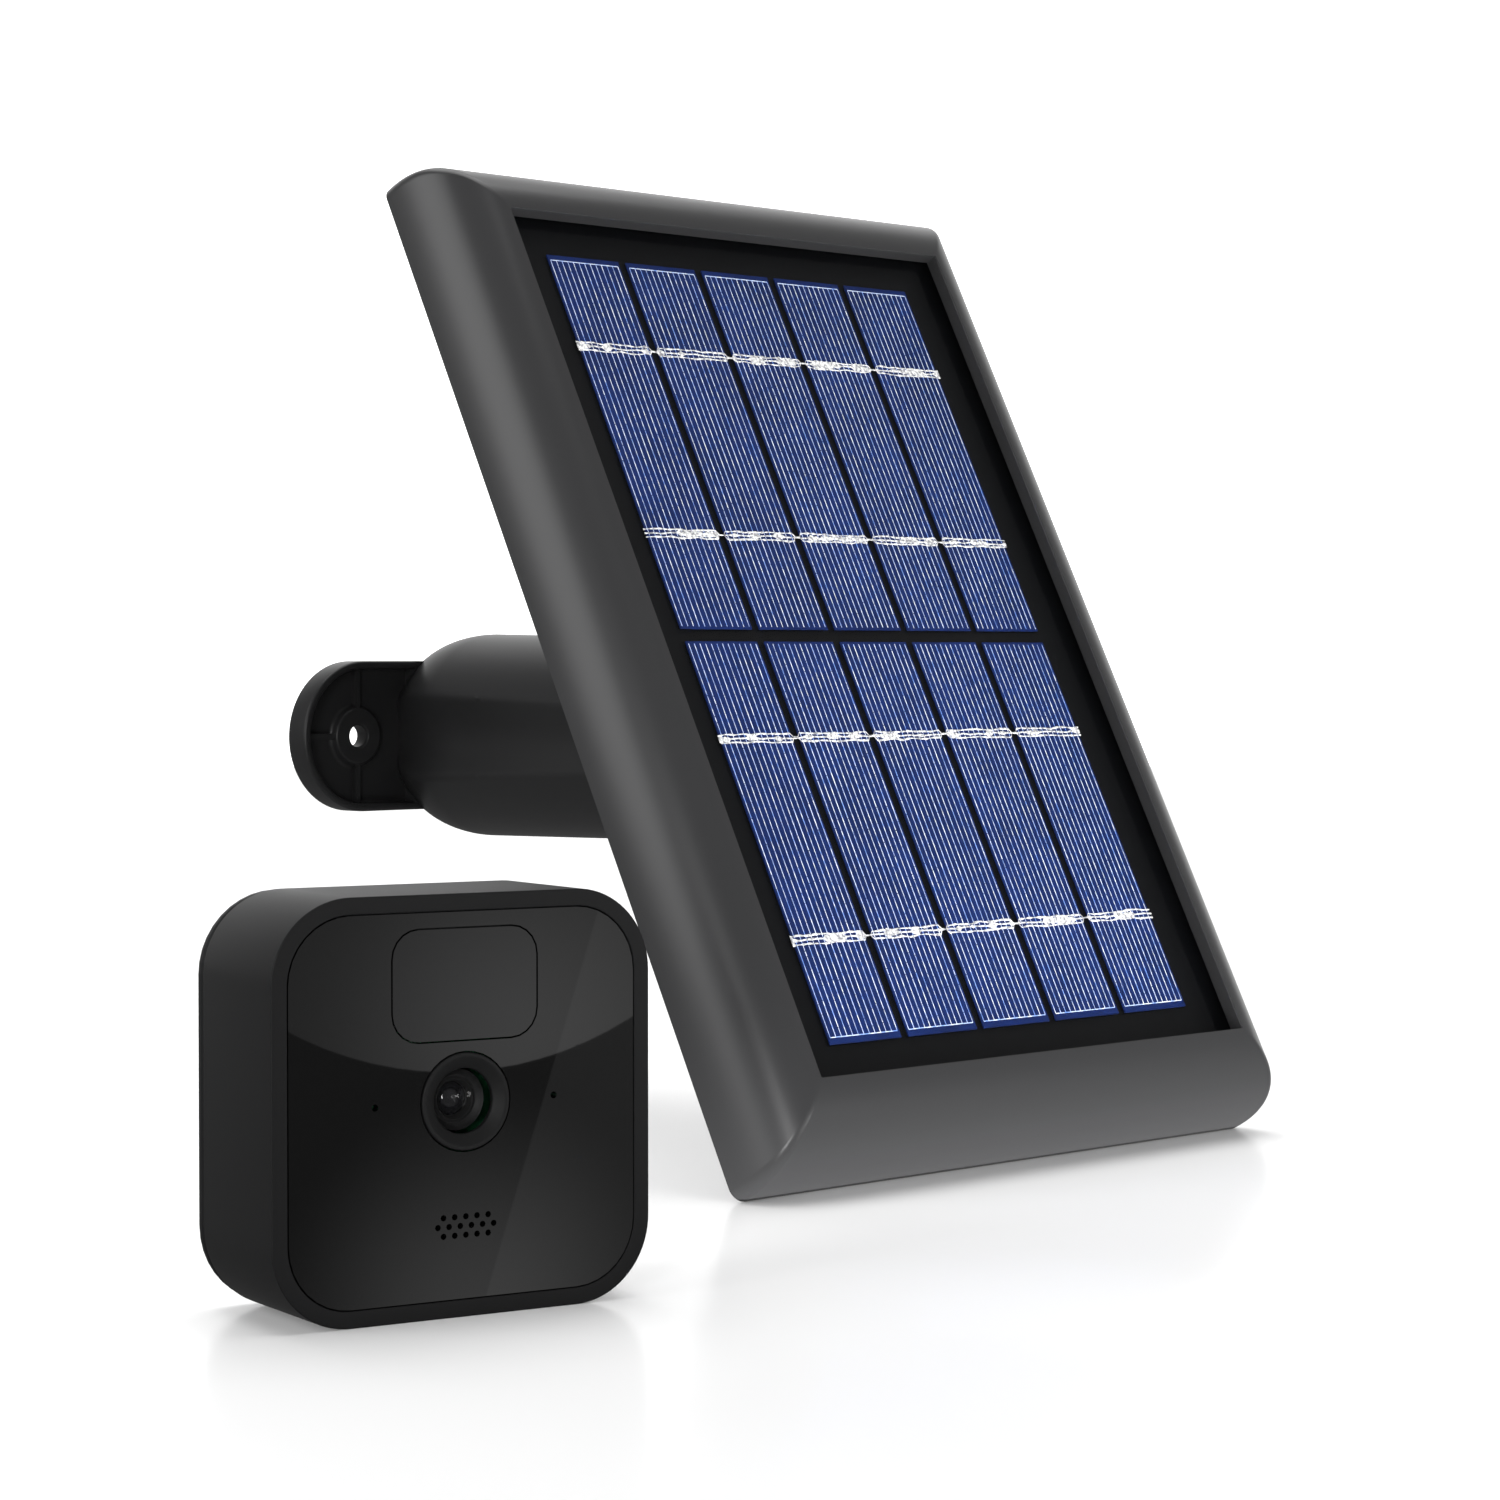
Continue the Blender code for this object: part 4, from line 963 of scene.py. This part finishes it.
def add_camera():
    """The view camera, level from side to side."""
    settings = bpy.context.scene.solar_stage
    level = Vector(settings.heading).normalized()
    drop = Vector((0, 0, math.sin(settings.tilt)))
    forward = (level * math.cos(settings.tilt) - drop).normalized()
    right = Vector((level.y, -level.x, 0))
    up = right.cross(forward)
    data = bpy.data.cameras.new("view_camera")
    data.lens = settings.lens
    data.sensor_width = 36.0
    data.clip_start = 0.01
    obj = linked("view_camera", data)
    turn = Matrix((right, up, -forward)).transposed().to_4x4()
    obj.matrix_world = Matrix.Translation(Vector(settings.position)) @ turn
    bpy.context.scene.camera = obj


# Name, position, aim, width, height and power of each light.
LIGHTS = (
    ("left_soft", (-1.7, 0.42, 0.7), (0.0, -0.1, 0.0), 1.2, 1.4, 15.0),
    ("top_soft", (0.3, 0.3, 2.6), (0.2, 0.2, 0.0), 2.6, 2.6, 62.0),
    ("low_front", (0.35, -1.9, 0.06), (0.05, -0.1, 0.0), 1.0, 0.25, 5.5),
    ("low_left", (-1.25, -0.95, 0.12), (-0.02, -0.2, -0.05), 0.25, 0.50, 10.0),
)
BOUNCE_AT = (0.24, -0.33)  # x and y of the light that lies on the floor in front of the panel
# Where the front plate shows the glows: x and y on the plate from its middle.
BROW = (0.8 * MM, 75.3 * MM)
BROW_PEAK = (12 * MM, 10 * MM)
FOOT = (2 * MM, -36 * MM)
EDGE = (35.8 * MM, -0.3 * MM)
EDGE_ROLL = -0.328  # radians


# ---------------------------------------------------------------- operators
class SOLAR_OT_panel(bpy.types.Operator):
    """Add the panel's frame, cells, conductor lines and clear sheet"""

    bl_idname = "solar.panel"
    bl_label = "Solar Panel"

    def execute(self, context):
        settings = context.scene.solar_panel
        dress(panel_skin(settings.rail_steps), "panel", look("charcoal"), "panel_frame")
        dress(finger_lines(settings.fingers, settings.finger_width), "panel", look("finger"))
        dress(end_lines(), "panel", look("finger"))
        dress(busbars(settings.busbar_width), "panel", look("silver"))
        for row in range(1, ROWS + 1):
            for column in range(1, COLUMNS + 1):
                paint(f"solar_cell_{row}_{column}", look("cells"))
        paint("clear_sheet", look("clear"))
        for number in range(1, REAR_SCREWS + 1):
            paint(f"rear_screw_{number}", look("steel"))
        return {"FINISHED"}


class SOLAR_OT_bracket(bpy.types.Operator):
    """Add the wall bracket's arm and ears and the ball head's parts"""

    bl_idname = "solar.bracket"
    bl_label = "Wall Bracket"

    def execute(self, context):
        dress(arm_skin(), "bracket", look("bracket"), "wall_bracket")
        for side in (-1, 1):
            dress(ear_skin(side), "bracket", look("bracket"))
            dress(ear_ribs(side), "bracket", look("bracket"))
        for piece, body, finish, node in ball_parts():
            dress(piece, body, look(finish), node)
        dress(nut_skin(), "lock_nut", look("bracket"), "lock_nut")
        return {"FINISHED"}


class SOLAR_OT_camera(bpy.types.Operator):
    """Add the battery camera's shell and lens"""

    bl_idname = "solar.camera"
    bl_label = "Battery Camera"

    def execute(self, context):
        dress(shell_skin(), "camera", look("shell"), "body_shell")
        for piece, finish, node in lens_parts():
            dress(piece, "camera", look(finish), *([node] if node else []))
        return {"FINISHED"}


class SOLAR_OT_nodes(bpy.types.Operator):
    """Give every frame node that is still shown its material"""

    bl_idname = "solar.nodes"
    bl_label = "Other Nodes"

    def execute(self, context):
        for node, finish in NODE_LOOKS.items():
            paint(node, look(finish))
        return {"FINISHED"}


class SOLAR_OT_stage(bpy.types.Operator):
    """Add the white floor, the lights and the camera"""

    bl_idname = "solar.stage"
    bl_label = "Stage"

    def execute(self, context):
        add_floor()
        scene = context.scene
        scene.view_settings.view_transform = "Standard"
        world = bpy.data.worlds.new("white_surroundings")
        world.use_nodes = True
        shade = world.node_tree.nodes["Background"]
        shade.inputs["Color"].default_value = (1.0, 1.0, 1.0, 1.0)
        shade.inputs["Strength"].default_value = scene.solar_stage.world
        scene.world = world
        for light in LIGHTS:
            add_light(*light)
        bounce_at = Vector((*BOUNCE_AT, floor_at(BOUNCE_AT[0]) + 0.5 * MM))
        above = bounce_at + Vector((0, 0, 1))
        bounce = add_light("floor_bounce", bounce_at, above, 0.72, 0.36, 4.2)
        bounce.visible_camera = False
        bounce.visible_glossy = False
        add_glow_disc("brow", BROW, 69.7 * MM, BROW_PEAK, 48 * MM, 0.60, 1.75)
        surroundings = scene.solar_stage.world
        add_glow_disc("foot", FOOT, 42 * MM, FOOT, 42 * MM, surroundings, 1.45)
        add_reflected_light("edge", EDGE, (40 * MM, 110 * MM), 0.8, 0.30, EDGE_ROLL)
        add_camera()
        return {"FINISHED"}


class SOLAR_PT_sidebar(bpy.types.Panel):
    bl_label = "Solar Camera"
    bl_idname = "SOLAR_PT_sidebar"
    bl_space_type = "VIEW_3D"
    bl_region_type = "UI"
    bl_category = "Solar Camera"

    def draw(self, context):
        layout = self.layout
        for group in SETTINGS:
            settings = getattr(context.scene, group)
            box = layout.box()
            for name in settings.__annotations__:
                box.prop(settings, name)
        for operator in OPERATORS:
            layout.operator(operator.bl_idname)


SETTINGS = {
    "solar_finishes": FinishSettings,
    "solar_panel": PanelSettings,
    "solar_stage": StageSettings,
}
OPERATORS = (SOLAR_OT_panel, SOLAR_OT_bracket, SOLAR_OT_camera, SOLAR_OT_nodes, SOLAR_OT_stage)


def register():
    for name, group in SETTINGS.items():
        bpy.utils.register_class(group)
        setattr(bpy.types.Scene, name, PointerProperty(type=group))
    for operator in OPERATORS:
        bpy.utils.register_class(operator)
    bpy.utils.register_class(SOLAR_PT_sidebar)


def unregister():
    bpy.utils.unregister_class(SOLAR_PT_sidebar)
    for operator in reversed(OPERATORS):
        bpy.utils.unregister_class(operator)
    for name, group in SETTINGS.items():
        delattr(bpy.types.Scene, name)
        bpy.utils.unregister_class(group)


def main():
    register()
    bpy.ops.solar.panel()
    bpy.ops.solar.bracket()
    bpy.ops.solar.camera()
    bpy.ops.solar.nodes()
    bpy.ops.solar.stage()


if __name__ == "__main__":
    main()
